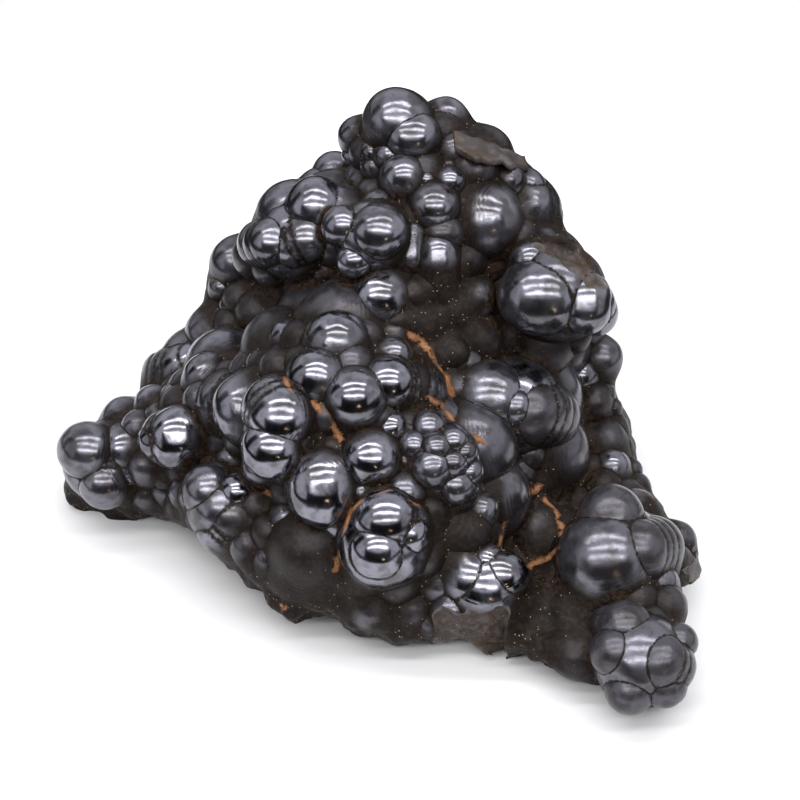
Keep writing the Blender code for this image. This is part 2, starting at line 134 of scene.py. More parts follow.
# Lobes that grow on the body and on the large lobes, in the same form.
SMALL_LOBES = {
    "crown": (
        (359, 136, 19, 0), (355, 157, 12, 0), (412, 136, 23, -0.4), (422, 152, 15, -0.1),
        (446, 118, 20, 0), (374, 153, 13, 0), (376, 167, 15, 0), (403, 178, 22, 0.1), (435, 206, 22, 0.15),
        (450, 181, 14, 0.15), (473, 170, 22, -0.3), (529, 205, 24, -0.1), (528, 187, 17, -0.1),
        (543, 214, 18, -0.1), (488, 150, 20, -0.6), (507, 181, 17, -0.1), (455, 150, 17, -0.1),
        (425, 180, 12, 0), (462, 205, 12, 0),
    ),
    "brow": (
        (379, 232, 27, -0.6), (343, 226, 20, -0.2), (355, 260, 17, -0.2), (306, 239, 25, -0.5),
        (272, 242, 23, -0.5), (411, 246, 14, 0), (438, 256, 19, 0.1), (326, 270, 14, 0),
        (316, 208, 29, -0.6), (318, 190, 20, -0.1), (334, 172, 19, -0.1),
    ),
    "left_shoulder": (
        (236, 262, 24, 0), (217, 261, 12, -0.1), (222, 287, 13, 0), (258, 312, 20, 0), (232, 306, 12, 0),
        (231, 346, 13, 0), (241, 358, 13, 0), (258, 343, 14, -0.1),
    ),
    "left_tiers": (
        (207, 377, 23, 0.1), (186, 372, 27, -0.4), (168, 372, 12, 0), (154, 404, 18, 0.1),
        (173, 396, 12, 0), (124, 420, 22, -0.1), (288, 338, 18, 0), (280, 368, 19, -0.1),
    ),
    "left_corner": (
        (88, 451, 28, -0.5), (124, 449, 23, -0.3), (105, 483, 24, -0.45), (131, 470, 14, 0),
        (147, 495, 13, 0), (166, 490, 12, 0), (183, 492, 14, 0),
    ),
    "left_front": (
        (177, 438, 27, -0.5), (157, 441, 18, -0.3), (203, 434, 15, -0.1), (206, 456, 12, -0.1),
        (235, 459, 18, 0.1), (282, 418, 32, -0.6), (273, 449, 30, -0.55), (211, 491, 27, -0.84),
        (233, 516, 28, -0.84), (238, 492, 18, -0.4), (262, 492, 15, -0.1), (270, 532, 17, -0.2),
    ),
    "centre": (
        (337, 341, 28, 0.1), (316, 378, 27, 0.1), (355, 398, 28, 0.15), (389, 383, 25, 0.15),
        (408, 386, 24, -0.2), (380, 297, 27, 0.25), (412, 293, 15, 0), (394, 318, 19, 0),
        (391, 427, 15, 0.1), (367, 423, 12, 0.1), (371, 459, 26, 0.15), (386, 522, 32, -0.58),
        (378, 550, 28, -0.66), (406, 534, 22, -0.66),
    ),
    "cauliflower": (
        (407, 461, 12, 0), (408, 476, 11, 0), (429, 428, 17, -0.2), (414, 446, 15, -0.2),
        (437, 448, 15, -0.4), (432, 468, 20, -0.45), (455, 485, 20, -0.45), (453, 441, 14, -0.3),
        (464, 453, 13, -0.3), (453, 463, 14, -0.5), (468, 473, 15, -0.45), (444, 498, 17, -0.5),
        (470, 492, 15, -0.4),
    ),
    "right_middle": (
        (491, 400, 36, -0.5), (514, 407, 19, -0.5), (530, 412, 30, -0.75), (499, 458, 22, 0),
        (513, 470, 20, 0), (455, 353, 14, 0), (478, 339, 23, -0.1), (494, 351, 13, 0.1),
        (545, 347, 26, -0.1), (560, 385, 18, 0), (600, 358, 21, 0), (467, 533, 23, -0.35),
    ),
    "right_knob": (
        (530, 260, 19, -0.4), (541, 297, 35, -0.68), (585, 303, 25, -0.5), (563, 256, 20, -0.5),
        (542, 243, 15, -0.2), (595, 312, 22, -0.3),
    ),
    "right_valley": (
        (565, 473, 20, 0), (590, 468, 14, 0), (604, 486, 16, 0), (537, 532, 22, 0.3), (560, 578, 18, 0),
        (570, 412, 14, 0), (578, 500, 12, 0),
    ),
    "right_ridge": (
        (637, 487, 13, 0.1), (632, 470, 10, 0.1), (605, 442, 20, 0), (608, 428, 10, 0.1),
        (600, 412, 10, 0.1), (613, 408, 9, 0), (623, 446, 9, 0), (604, 394, 11, 0),
    ),
    "right_leg": (
        (611, 519, 32, -0.8), (637, 550, 30, -0.82), (677, 541, 19, -0.1), (664, 606, 21, -0.1),
        (625, 628, 26, -0.62), (615, 652, 24, -0.62), (659, 662, 27, -0.68), (630, 690, 24, -0.6),
        (577, 655, 22, -0.2), (678, 642, 18, -0.4), (664, 685, 22, -0.6),
    ),
    "front_right": ((471, 580, 27, -0.86), (501, 577, 26, -0.83), (486, 562, 18, -0.8)),
}

# Shells that show behind a lobe like an onion's skins, by the lobe's x, y: the step from one to the next as
# x, y in pixels, and how many.
SHELLS = {
    (246, 408): (-5, -1, 3), (177, 438): (-4, 0, 2), (282, 418): (-3, -4, 2), (272, 242): (-5, 1, 2),
    (306, 239): (-5, 2, 2), (529, 205): (3, 1, 2), (637, 550): (5, -1, 3), (607, 560): (5, -4, 2),
    (455, 485): (3, 3, 2), (585, 303): (4, 2, 1), (207, 377): (-5, -3, 3), (530, 412): (6, 1, 3),
    (659, 662): (4, 2, 2), (386, 522): (4, 2, 2), (186, 372): (-5, 1, 3), (323, 487): (-2, 3, 1),
    (389, 383): (4, 1, 2), (233, 516): (-4, 4, 2), (408, 386): (6, 3, 2),
}
SHELL_DROP = 0.12  # how much lower in radii each shell stands

# How polished a cluster's lobes are, from dusty to mirror-like, and the single lobes that differ, by x, y.
POLISH = {
    "crown": 0.9, "brow": 0.9, "left_corner": 0.85, "left_wing": 0.95, "left_back": 0.85, "front": 1,
    "centre": 1, "right": 0.8, "left_low": 0.85, "left_shoulder": 0.8, "left_tiers": 1, "left_front": 1,
    "cauliflower": 0.85, "right_middle": 0.7, "right_knob": 0.9, "right_valley": 0.2, "right_ridge": 0.6,
    "right_leg": 0.62, "front_right": 1,
}
POLISH_OF = {
    (308, 548): 0.3, (467, 533): 0.3, (491, 400): 0.88, (514, 407): 0.85, (530, 412): 0.6,
    (545, 347): 0.45, (455, 353): 0.25, (478, 339): 0.35, (494, 351): 0.5, (560, 385): 0.25,
    (537, 532): 0.45, (408, 386): 0.3, (394, 318): 0.4, (211, 491): 0.85, (233, 516): 0.8, (124, 449): 1,
    (258, 312): 0.4, (326, 270): 0.5, (412, 293): 0.4, (316, 208): 0.95, (270, 532): 0.4, (262, 492): 0.5,
    (560, 578): 0.2, (577, 655): 0.45, (280, 368): 0.4,
}

# Lobes and mounds at seeded places, the larger first. A kind has its radii in mm, how far the centres stand
# out, in radii, the least distance between two centres, in sums of their radii, how far its ground is clear
# of other lobes and how low it may be, in mm, its seed, and how polished it is.
SIZE_SPREAD = (0.9, 1.1)  # of the radii
# On the sides and back, which the photograph doesn't show.
HIDDEN = {
    "radii": (6.0, 5.0, 4.2, 3.5, 2.9, 2.3), "rise": (-0.3, 0.05), "spacing": 0.6, "clear": 0, "lowest": 7,
    "seed": 4, "polish": (0.5, 0.95),
}
# In the gaps between the others, on every side.
FILLER = {
    "radii": (2.5, 1.9, 1.4), "rise": (-0.35, 0.05), "spacing": 0.8, "clear": 0.1, "lowest": 8,
    "seed": 11, "polish": (0.4, 0.95),
}
# Low mounds of the ground, on what is still bare.
MOUND = {
    "radii": (3.0, 2.3, 1.7), "rise": (-0.55, -0.2), "spacing": 0.7, "clear": 1.0, "lowest": 5, "seed": 11,
}
# Where the photograph shows bare ground, without fillers: x, y and half widths in pixels.
BARE = (
    (310, 296, 50, 26), (440, 315, 38, 48), (480, 275, 26, 16), (425, 375, 26, 45), (555, 600, 60, 50),
    (560, 520, 60, 45), (560, 430, 30, 34), (520, 365, 30, 18), (300, 590, 90, 30), (450, 540, 28, 40),
)
MIDDLE = Vector((0, 4, 18)) * MM  # of the mass, which the sights from all round look at
HIDDEN_SIGHTS = 500
HIDDEN_FACING = 0.2  # what turns further towards the eye than this is in the photograph's view
GROUND_SIGHTS = 1400
SEARCHED = (60, 90, 710, 720)  # left, top, right and bottom in pixels of the sights from the eye
SEARCH_STEP = 13  # pixels
RIM_CHECKS = 10

# The breaks: rough faces, each as a point of it, the way that it faces, and how far its bumps rise, in mm.
BREAKS = {
    "back_left": ((-20, 28, 14), (-0.5, 0.82, -0.3), 3.2),
    "back_middle": ((4, 35, 12), (0.1, 0.94, -0.32), 3.2),
    "back_right": ((28, 28, 13), (0.66, 0.7, -0.25), 3.2),
}
# Chips: a flat fresh face each, as x, y in pixels, depth under the surface in mm, way it faces, half width.
CHIPS = {
    "knob_top": (572, 258, 1.2, (0.45, 0.25, 0.86), 4.5),
    "front_low": (470, 632, 1.0, (0.05, -0.95, -0.3), 5.2),
    "leg_end": (700, 572, 1.0, (0.9, -0.3, 0.3), 3.0),
}
# Flakes that stand out of the crust: their back and front edges as x, y in pixels and depth in mm.
FLAKES = {
    "crown": (
        ((453, 132, 3.2), (478, 138, 2.6), (503, 147, 0.6), (525, 156, -4.0)),
        ((455, 145, 5.4), (475, 157, 6.0), (503, 163, 3.4), (528, 166, -1.6)),
    ),
}
FLAKE_THICKNESS = 0.8  # mm
FLAKE_COLUMNS = 40
FLAKE_ROWS = 10
FLAKE_WAVES = (0.45, 1.6)  # height and size of its bumps in mm
FLAKE_BUMPS = (0.22, 2.4)
FLAKE_JAGS = 0.3  # how far its front edge is broken back, as a share of its width

BREAK_STEP = 1.8 * MM
BREAK_GRAIN = 9 * MM
FINE_GRAIN = 1 / 2.3  # of BREAK_GRAIN, for the smaller bumps on the large ones
FINE_SHARE = 0.5  # of the height of the large bumps

# The broken underside stands clear of the floor except at the feet, in mm.
ARCH_HEIGHT = 5.5
FOOT_DEPTH = 8
FOOT_REACH = 11
FEET = ((-41, 5), (33, -34), (8, -27), (10, 30), (-22, 22))  # x, y
ARCH_ROUGHNESS = 2
BASE_CUT = 0.4  # what the flat foot faces take off

FAR = 70 * MM  # past the mass on every side
BALL_DETAIL = 3
EVEN_TURN = math.radians(137.5)
SIGHT_STEPS = range(-40, 61)  # mm beyond LOOK_AT where a line of sight that misses is tried

# How the parts of the distance meet, in mm.
RIDGE_MELT = 0.6
LOBE_SWELL = 1.10  # times the radius that the lobes are seated with
SKIRT = 0.9  # of a lobe's radius, over which it flares into the body
SKIRT_RANGE = (1.4, 4.0)
CREASES = 3  # nearest lobes that one point looks at
CUT_REACH = 2.5  # how far off a break its fine bumps are worked out

# Lobes that are drawn out: how far their two ends are from the middle, as x, y in pixels.
STRETCH = {
    (177, 438): (0, 3), (323, 487): (0, -4), (537, 532): (0, 5), (246, 408): (0, 2), (585, 303): (0, 5),
    (541, 297): (6, 0), (411, 246): (0, 11), (438, 256): (0, 3), (412, 136): (3, 0), (332, 214): (5, 0),
    (488, 219): (0, 2),
}

# Relief that the lobes and the breaks carry, each as height and size of its bumps in mm.
SWELL = (0.16, 4.5)
WAVER = (0.035, 1.3)
RIM_BUMPS = (0.9, 3.0)
RIM_FINE = (0.3, 1.1)
RIM_ROUGH_BELOW = (5.5, 12.0)  # heights where the bare body is all rough, and not rough at all
HACKLE = (0.85, 2.8)
HACKLE_FINE = (0.30, 0.9)
NOISE_SEED = 7
NOISE_SIZE = 32

TINY = 1e-9  # keeps a division from zero
JUST_BEFORE = 0.001  # the last place on a line or in a table, short of its end

# The grid and the mesh, in mm.
GRID_STEP = 0.42
COARSE = 3  # grid steps to one step of the smooth parts
GRID_LOW = np.array((-48.0, -44.5, -1.5))
GRID_HIGH = np.array((48.0, 45.5, 61.5))
MOST_TRIANGLES = 190_000
SLOPE_STEP = 0.02
# How near a crease or an edge has to be to draw a point onto it, and in how many rounds, first on the dense
# mesh and last on the one with fewer faces.
FIRST_REACH = 0.6 * GRID_STEP
LAST_REACH = 0.15
FIRST_ROUNDS = 3
LAST_ROUNDS = 2
CREASE_FAR = 3  # mm, where the distance to the next lobe stops counting
OPEN_STEPS = (0.6, 1.5, 3.0, 5.5)  # how far off the surface the room round a point is felt
BIN = 3.0  # side of the cubes that each keep a list of what is near them
LOBES_IN_BIN = 24
RIDGES_IN_BIN = 14
ROWS_AT_ONCE = 1_000_000  # of points times what each is compared with, which bounds the memory
LEAST_TURN = 0.35  # between two slopes, under which their meeting is no crease
DAMPING = 0.01  # of the moves onto creases and edges
LONGEST_MOVE = 0.6  # in one round

# Rust-orange clay, as lines of x, y in pixels.
RUST_LINES = (
    ((410, 335), (420, 340), (430, 352), (437, 365), (445, 375), (452, 395)),
    ((455, 425), (465, 430), (480, 440), (510, 442)),
    ((286, 378), (291, 396)),
    ((313, 402), (325, 415), (342, 440)),
    ((348, 374), (360, 370)),
    ((335, 570), (342, 545), (346, 525), (350, 512), (360, 502), (390, 491), (418, 507)),
    ((540, 487), (522, 498), (510, 510), (503, 528), (500, 545), (510, 560)),
    ((545, 500), (556, 510), (562, 528), (560, 546), (548, 558), (530, 566)),
    ((600, 505), (618, 498), (640, 500)),
    ((428, 398), (445, 405), (455, 425)),
    ((268, 492), (270, 494)),
    ((366, 588), (371, 589)),
    ((282, 607), (285, 609)),
    ((655, 680), (662, 680)),
    ((633, 713), (650, 713)),
)
RUST_STEP = 3  # pixels between the places that a line is laid through
RUST_FAR = 6.0  # mm, where the distance to the clay stops counting


def place(x, y, depth):
    """The point seen at pixel x, y that stands this many mm in front of LOOK_AT."""
    shrink = 1 - depth * MM / VIEW_DISTANCE
    across = (x - FRAME_PX / 2) * PX * shrink
    rise = (FRAME_PX / 2 - y) * PX * shrink
    return LOOK_AT + RIGHT * across + UP * rise + TOWARD * depth * MM


def real_radius(pixels, point):
    return pixels * PX * (EYE - point).dot(TOWARD) / VIEW_DISTANCE


def unit_ball():
    """Points and faces of a ball of radius 1."""
    bm = bmesh.new()
    bmesh.ops.create_icosphere(bm, subdivisions=BALL_DETAIL, radius=1)
    points = np.array([vertex.co for vertex in bm.verts])
    faces = np.array([[vertex.index for vertex in face.verts] for face in bm.faces])
    bm.free()
    return points, faces


BALL, BALL_FACES = unit_ball()


def ball(centre, radius):
    return BALL * radius + np.array(centre), BALL_FACES


def ridge_ends(ends):
    centres = [place(x, y, depth) for x, y, depth, pixels in ends]
    return [(centre, real_radius(end[3], centre)) for centre, end in zip(centres, ends)]


def ridge(ends):
    """The hull round two balls: a blunt ridge that tapers from one end to the other."""
    bm = bmesh.new()
    for centre, radius in ridge_ends(ends):
        for point in ball(centre, radius)[0]:
            bm.verts.new(point)
    made = bmesh.ops.convex_hull(bm, input=bm.verts)
    inner = [item for item in made["geom_interior"] if isinstance(item, bmesh.types.BMVert)]
    bmesh.ops.delete(bm, geom=inner, context="VERTS")
    bm.verts.index_update()
    points = np.array([vertex.co for vertex in bm.verts])
    faces = np.array([[vertex.index for vertex in face.verts] for face in bm.faces])
    bm.free()
    return points, faces


def with_shells(clusters):
    """The same lobes, and behind some of them shells, each a little lower and further out than the last."""
    grown = {}
    for name, rows in clusters.items():
        grown[name] = list(rows)
        for x, y, pixels, rise in rows:
            step_x, step_y, count = SHELLS.get((x, y), (0, 0, 0))
            for number in range(1, count + 1):
                shell_x, shell_y = x + number * step_x, y + number * step_y
                grown[name].append((shell_x, shell_y, pixels, rise - number * SHELL_DROP))
    return grown


LARGE_LOBES = with_shells(LARGE_LOBES)
SMALL_LOBES = with_shells(SMALL_LOBES)


def tree_of(forms):
    """A tree of all these forms, each as its points and its triangles."""
    starts = np.cumsum([0] + [len(points) for points, faces in forms[:-1]])
    points = np.concatenate([points for points, faces in forms])
    faces = np.concatenate([faces + start for (points_of, faces), start in zip(forms, starts)])
    return BVHTree.FromPolygons(points.tolist(), faces.tolist())


def nearest_pass(tree, sight):
    """Where a line of sight that misses the surface passes closest to it."""
    steps = [VIEW_DISTANCE + offset * MM for offset in SIGHT_STEPS]
    points = [EYE + sight * step for step in steps]
    return min(points, key=lambda point: tree.find_nearest(point)[3])


def sight_at(x, y):
    return (place(x, y, 0) - EYE).normalized()


def seat(tree, x, y, pixels, rise):
    """Centre and radius of the lobe seen at x, y, which stands on the first surface in that sight."""
    sight = sight_at(x, y)
    ground = tree.ray_cast(EYE, sight)[0] or nearest_pass(tree, sight)
    radius = real_radius(pixels, ground)
    return ground - sight * rise * radius, radius


def grow(forms, clusters):
    """Seats every lobe of these clusters on the surface made so far, then adds them to it."""
    tree = tree_of(forms)
    lobes = [seat(tree, *row) for rows in clusters.values() for row in rows]
    forms += [ball(centre, radius) for centre, radius in lobes]
    return lobes


def polish_of(clusters):
    return [POLISH_OF.get(row[:2], POLISH[name]) for name, rows in clusters.items() for row in rows]


def even_direction(number, count):
    """One of a count of directions that are spread evenly about a point."""
    height = 1 - 2 * (number + 0.5) / count
    level = math.sqrt(1 - height * height)
    turn = number * EVEN_TURN
    return Vector((level * math.cos(turn), level * math.sin(turn), height))


def keeps_outline(tree, centre, radius):
    """Whether the mass is behind or before the whole of this lobe, as the eye sees it."""
    for number in range(RIM_CHECKS):
        turn = 2 * math.pi * number / RIM_CHECKS
        rim = centre + (RIGHT * math.cos(turn) + UP * math.sin(turn)) * radius
        if tree.ray_cast(EYE, (rim - EYE).normalized())[0] is None:
            return False
    return True


def sights_all_round(count):
    """Rays towards the middle of the mass from even directions."""
    for number in range(count):
        direction = even_direction(number, count)
        yield MIDDLE + direction * 2 * FAR, -direction


def sights_of_ground():
    """Rays from the eye across the photograph, then from all round."""
    left, top, right, bottom = SEARCHED
    for y in range(top, bottom, SEARCH_STEP):
        for x in range(left + y % 2 * SEARCH_STEP // 2, right, SEARCH_STEP):
            yield EYE, sight_at(x, y)
    yield from sights_all_round(GROUND_SIGHTS)


def is_seen(ground, normal):
    return normal.dot(TOWARD) > HIDDEN_FACING


def is_bare(ground, normal):
    """Whether the photograph shows this spot without small lobes."""
    offset = ground - LOOK_AT
    scale = PX * (1 - offset.dot(TOWARD) / VIEW_DISTANCE)
    x, y = FRAME_PX / 2 + offset.dot(RIGHT) / scale, FRAME_PX / 2 - offset.dot(UP) / scale
    return normal.dot(TOWARD) > 0 and any(math.hypot((x - a) / w, (y - b) / h) < 1 for a, b, w, h in BARE)


def scattered(kind, sights, body, mass, beside=(), off=(), skips=None):
    """Lobes or mounds of a kind where these sights meet the body, spaced from each other and from those
    beside, on ground that is clear of those to keep off."""
    draw = random.Random(kind["seed"])
    taken = list(beside)
    for size in kind["radii"]:
        for start, sight in sights:
            radius = size * MM * draw.uniform(*SIZE_SPREAD)
            rise = draw.uniform(*kind["rise"])
            ground, normal = body.ray_cast(start, sight)[:2]
            if ground is None or ground.z < kind["lowest"] * MM or (skips and skips(ground, normal)):
                continue
            if any((ground - other).length < past + kind["clear"] * MM for other, past in off):
                continue
            centre = ground + normal * rise * radius
            apart = all((centre - other).length > kind["spacing"] * (radius + past) for other, past in taken)
            if apart and keeps_outline(mass, centre, radius):
                taken.append((centre, radius))
    return taken[len(beside):]


def stretch_of(clusters):
    """Half the length that each lobe is drawn out by, as a vector in mm."""
    ways = [STRETCH.get(row[:2], (0, 0)) for rows in clusters.values() for row in rows]
    return [(RIGHT * x - UP * y) * PX / MM for x, y in ways]


def pole_of(body, centre):
    """The way that a lobe grew out of the body."""
    ground, normal = body.find_nearest(centre)[:2]
    if (centre - ground).dot(normal) < 0:
        return normal.normalized()
    return ((centre - ground).normalized() + normal).normalized()


def seat_all():
    """The mass as a tree, its mounds, and what is needed of each lobe, with lengths in mm."""
    forms = [ridge(ends) for ends in RIDGES.values()]
    body = tree_of(forms)
    seen = grow(forms, LARGE_LOBES) + grow(forms, SMALL_LOBES)
    sights = list(sights_all_round(HIDDEN_SIGHTS))
    hidden = scattered(HIDDEN, sights, body, tree_of(forms), beside=seen, skips=is_seen)
    forms += [ball(centre, radius) for centre, radius in hidden]
    mass = tree_of(forms)
    sights = list(sights_of_ground())
    filler = scattered(FILLER, sights, body, mass, off=seen + hidden, skips=is_bare)
    lobes = seen + hidden + filler
    mounds = scattered(MOUND, sights, body, mass, off=lobes)
    draw = random.Random(HIDDEN["seed"])
    polish = polish_of(LARGE_LOBES) + polish_of(SMALL_LOBES)
    for kind, made in ((HIDDEN, hidden), (FILLER, filler)):
        polish += [draw.uniform(*kind["polish"]) for lobe in made]
    stretch = stretch_of(LARGE_LOBES) + stretch_of(SMALL_LOBES) + [Vector()] * len(hidden + filler)
    radius = np.array([radius for centre, radius in lobes]) / MM * LOBE_SWELL
    return mass, mounds, {
        "centre": np.array([centre for centre, radius in lobes]) / MM,
        "radius": radius,
        "skirt": np.clip(SKIRT * radius, *SKIRT_RANGE),
        "stretch": np.array(stretch),
        "polish": np.array(polish),
        "pole": np.array([pole_of(body, centre) for centre, radius in lobes]),
    }


def ground_cones():
    """Each ridge and mound as its start, direction, length, first radius, taper and lean, in mm."""
    cones = {"start": [], "along": [], "length": [], "radius": [], "taper": [], "lean": []}
    for ends in RIDGES.values():
        (start, first), (stop, last) = ridge_ends(ends)
        length = (stop - start).length / MM
        taper = (first - last) / MM / length
        lean = taper / math.sqrt(1 - taper * taper)
        row = (start / MM, (stop - start).normalized(), length, first / MM, taper, lean)
        for values, value in zip(cones.values(), row):
            values.append(value)
    for centre, radius in MOUNDS:
        for values, value in zip(cones.values(), (centre / MM, UP, 0, radius / MM, 0, 0)):
            values.append(value)
    return {name: np.array(values) for name, values in cones.items()}


MASS, MOUNDS, LOBES = seat_all()
CONES = ground_cones()
LATTICE = np.random.default_rng(NOISE_SEED).uniform(-1, 1, (NOISE_SIZE,) * 3)


def noise_at(points, size):
    """Smooth noise from -1 to 1 whose bumps are this many mm wide, and how it grows."""
    scaled = points / size
    corner = np.floor(scaled).astype(int)
    part = scaled - corner
    blend = part * part * (3 - 2 * part)
    steep = 6 * part * (1 - part) / size
    value = np.zeros(len(points))
    slope = np.zeros((len(points), 3))
    for step in np.ndindex(2, 2, 2):
        x, y, z = np.where(step, blend, 1 - blend).T
        i, j, k = ((corner + step) % NOISE_SIZE).T
        level = LATTICE[i, j, k]
        value += x * y * z * level
        slope += np.where(step, steep, -steep) * level[:, None] * np.stack((y * z, x * z, x * y), axis=1)
    return value, slope


def bumps(points, *layers):
    """These layers of noise, each as height and size, and how their sum grows."""
    value = np.zeros(len(points))
    slope = np.zeros((len(points), 3))
    for height, size in layers:
        level, steep = noise_at(points, size)
        value += height * level
        slope += height * steep
    return value, slope


def ramp(values, start, stop):
    """From 0 at start to 1 at stop, smoothly."""
    part = np.clip((values - start) / (stop - start), 0, 1)
    return part * part * (3 - 2 * part)


def roughness_table():
    """The large bumps of the breaks, at the corners of the same grid as the solid's."""
    segments = round(2 * FAR / BREAK_STEP)
    places = np.linspace(-FAR, FAR, segments + 1)
    grain = BREAK_GRAIN * FINE_GRAIN
    return np.array([
        [noise.noise(Vector((x, y, 0)) / BREAK_GRAIN) + FINE_SHARE * noise.noise(Vector((x, y, FAR)) / grain)
         for y in places]
        for x in places
    ])


ROUGHNESS = roughness_table()


def roughness(x, y):
    """The table between its corners, for x, y in mm."""
    last = len(ROUGHNESS) - 1
    span = 2 * FAR / MM / last
    across, along = (np.clip((value + FAR / MM) / span, 0, last - JUST_BEFORE) for value in (x, y))
    i, j = across.astype(int), along.astype(int)
    u, v = across - i, along - j
    low = ROUGHNESS[i, j] * (1 - v) + ROUGHNESS[i, j + 1] * v
    high = ROUGHNESS[i + 1, j] * (1 - v) + ROUGHNESS[i + 1, j + 1] * v
    return low * (1 - u) + high * u


def underside_cut(points):
    x, y, z = points.T
    height = ARCH_HEIGHT + ARCH_ROUGHNESS * roughness(x, y)
    for foot_x, foot_y in FEET:
        away = np.hypot(x - foot_x, y - foot_y) / FOOT_REACH
        height = height - FOOT_DEPTH * np.exp(-away * away)
    return height - z


def turned(facing):
    return np.array(Vector(facing).to_track_quat("Z", "Y").to_matrix())


def break_cuts():
    """Each break's point, turn and height of bumps."""
    return [(np.array(point), turned(-Vector(facing)), height) for point, facing, height in BREAKS.values()]


def chip_cuts():
    """Each chip's middle, turn and half width in mm."""
    cuts = []
    for x, y, depth, facing, half in CHIPS.values():
        outward = Vector(facing).normalized()
        point = seat(MASS, x, y, 0, 0)[0] + outward * (half - depth) * MM
        cuts.append((np.array(point) / MM, turned(outward), half))
    return cuts


BREAK_CUTS = break_cuts()
CHIP_CUTS = chip_cuts()


def plain_cuts(points):
    """How far each point is inside what the floor, the underside, each break and each chip takes off."""
    fields = [BASE_CUT - points[:, 2], underside_cut(points)]
    for point, turn, height in BREAK_CUTS:
        x, y, z = ((points - point) @ turn).T
        fields.append(height * roughness(x, y) - z)
    for middle, turn, half in CHIP_CUTS:
        x, y, z = ((points - middle) @ turn).T
        fields.append(np.minimum(half - np.maximum(abs(x), abs(y)), z + half))
    return np.stack(fields, axis=1)


def slope_of(field, points):
    """How a field grows along x, y and z, by small steps."""
    base = field(points)
    grown = [(field(points + np.eye(3)[axis] * SLOPE_STEP) - base) / SLOPE_STEP for axis in range(3)]
    return base, np.stack(grown, axis=-1)


def cut_fields(points):
    """The same with their fine bumps, and how they grow. The floor stays flat."""
    value, slope = slope_of(plain_cuts, points)
    near = np.flatnonzero(value.max(axis=1) > -CUT_REACH)
    rough, steep = bumps(points[near], HACKLE, HACKLE_FINE)
    value[near, 1:] += rough[:, None]
    slope[near, 1:] += steep[:, None]
    return value, slope


def bin_axes():
    return [np.arange(low + BIN / 2, high + BIN, BIN) for low, high in zip(GRID_LOW, GRID_HIGH)]


def bin_of(points):
    """The number of the coarse cube that each point lies in."""
    counts = [len(axis) for axis in bin_axes()]
    cube = np.clip(((points - GRID_LOW) / BIN).astype(int), 0, np.array(counts) - 1)
    return np.ravel_multi_index(tuple(cube.T), counts)


def nearest_in_bins(gap_of, total, count):
    """For each coarse cube, the items of a total that come nearest to its middle."""
    middles = np.stack(np.meshgrid(*bin_axes(), indexing="ij"), axis=-1).reshape(-1, 3)
    rows = []
    for some in np.array_split(middles, max(1, len(middles) * total // ROWS_AT_ONCE)):
        gap = gap_of(some, np.broadcast_to(np.arange(total), (len(some), total)))[0]
        rows.append(np.argpartition(gap, count, axis=1)[:, :count])
    return np.concatenate(rows)


def lobe_gap(points, which):
    """Distance from each point to its row of lobes, and the way that it grows."""
    away = points[:, None] - LOBES["centre"][which]
    axis = LOBES["stretch"][which]
    along = (away * axis).sum(axis=-1) / np.maximum((axis * axis).sum(axis=-1), TINY)
    away -= np.clip(along, -1, 1)[..., None] * axis
    length = np.sqrt((away * away).sum(axis=-1)) + TINY
    return length - LOBES["radius"][which], away / length[..., None]


def ridge_gap(points, which):
    """Distance from each point to its row of ridges, and the way that it grows."""
    offset = points[:, None] - CONES["start"][which]
    along = CONES["along"][which]
    passed = (offset * along).sum(axis=-1)
    off_axis = np.sqrt(np.maximum((offset * offset).sum(axis=-1) - passed * passed, 0))
    foot = np.clip(passed - off_axis * CONES["lean"][which], 0, CONES["length"][which])
    offset -= foot[..., None] * along
    reach = np.sqrt((offset * offset).sum(axis=-1)) + TINY
    return reach - CONES["radius"][which] + CONES["taper"][which] * foot, offset / reach[..., None]


LOBES_NEAR = nearest_in_bins(lobe_gap, len(LOBES["radius"]), LOBES_IN_BIN)
RIDGES_NEAR = nearest_in_bins(ridge_gap, len(CONES["radius"]), RIDGES_IN_BIN)


def body_field(points):
    """Distance to the melted ridges, rough low down, and the way that it grows."""
    gap, way = ridge_gap(points, RIDGES_NEAR[bin_of(points)])
    least = gap.min(axis=1, keepdims=True)
    weight = np.exp((least - gap) / RIDGE_MELT)
    total = weight.sum(axis=1)
    value = least[:, 0] - RIDGE_MELT * np.log(total)
    slope = (way * weight[..., None]).sum(axis=1) / total[:, None]
    low = np.flatnonzero(points[:, 2] < RIM_ROUGH_BELOW[1])
    rough = 1 - ramp(points[low, 2], *RIM_ROUGH_BELOW)
    level, steep = bumps(points[low], RIM_BUMPS, RIM_FINE)
    value[low] += rough * level
    slope[low] += rough[:, None] * steep
    return value, slope


def melt(first, second, width):
    """The smaller of two distances, rounded where they meet, and the first one's share of it."""
    share = np.clip(0.5 + 0.5 * (second - first) / width, 0, 1)
    return second + (first - second) * share - width * share * (1 - share), share


def crust_by(points, body, swell, which):
    """Distance to the crust as each of these lobes makes it with the body, its slope, the lobe's share."""
    gap, way = lobe_gap(points, which)
    value, share = melt(gap, body[0][:, None], LOBES["skirt"][which])
    slope = share[..., None] * way + (1 - share)[..., None] * body[1][:, None]
    return value + swell[0][:, None], slope + swell[1][:, None], share


def crust_at(points, count=CREASES):
    """The lobes that make the crust at each point, the leading one first, and what each of them gives."""
    found = []
    for some in np.array_split(points, max(1, len(points) * LOBES_IN_BIN // ROWS_AT_ONCE)):
        body, swell = body_field(some), bumps(some, SWELL, WAVER)
        which = LOBES_NEAR[bin_of(some)]
        value, slope, share = crust_by(some, body, swell, which)
        order = np.argsort(value, axis=1)[:, :count]
        row = np.arange(len(some))[:, None]
        found.append((which[row, order], value[row, order], slope[row, order], share[row, order]))
    return [np.concatenate(part) for part in zip(*found)]


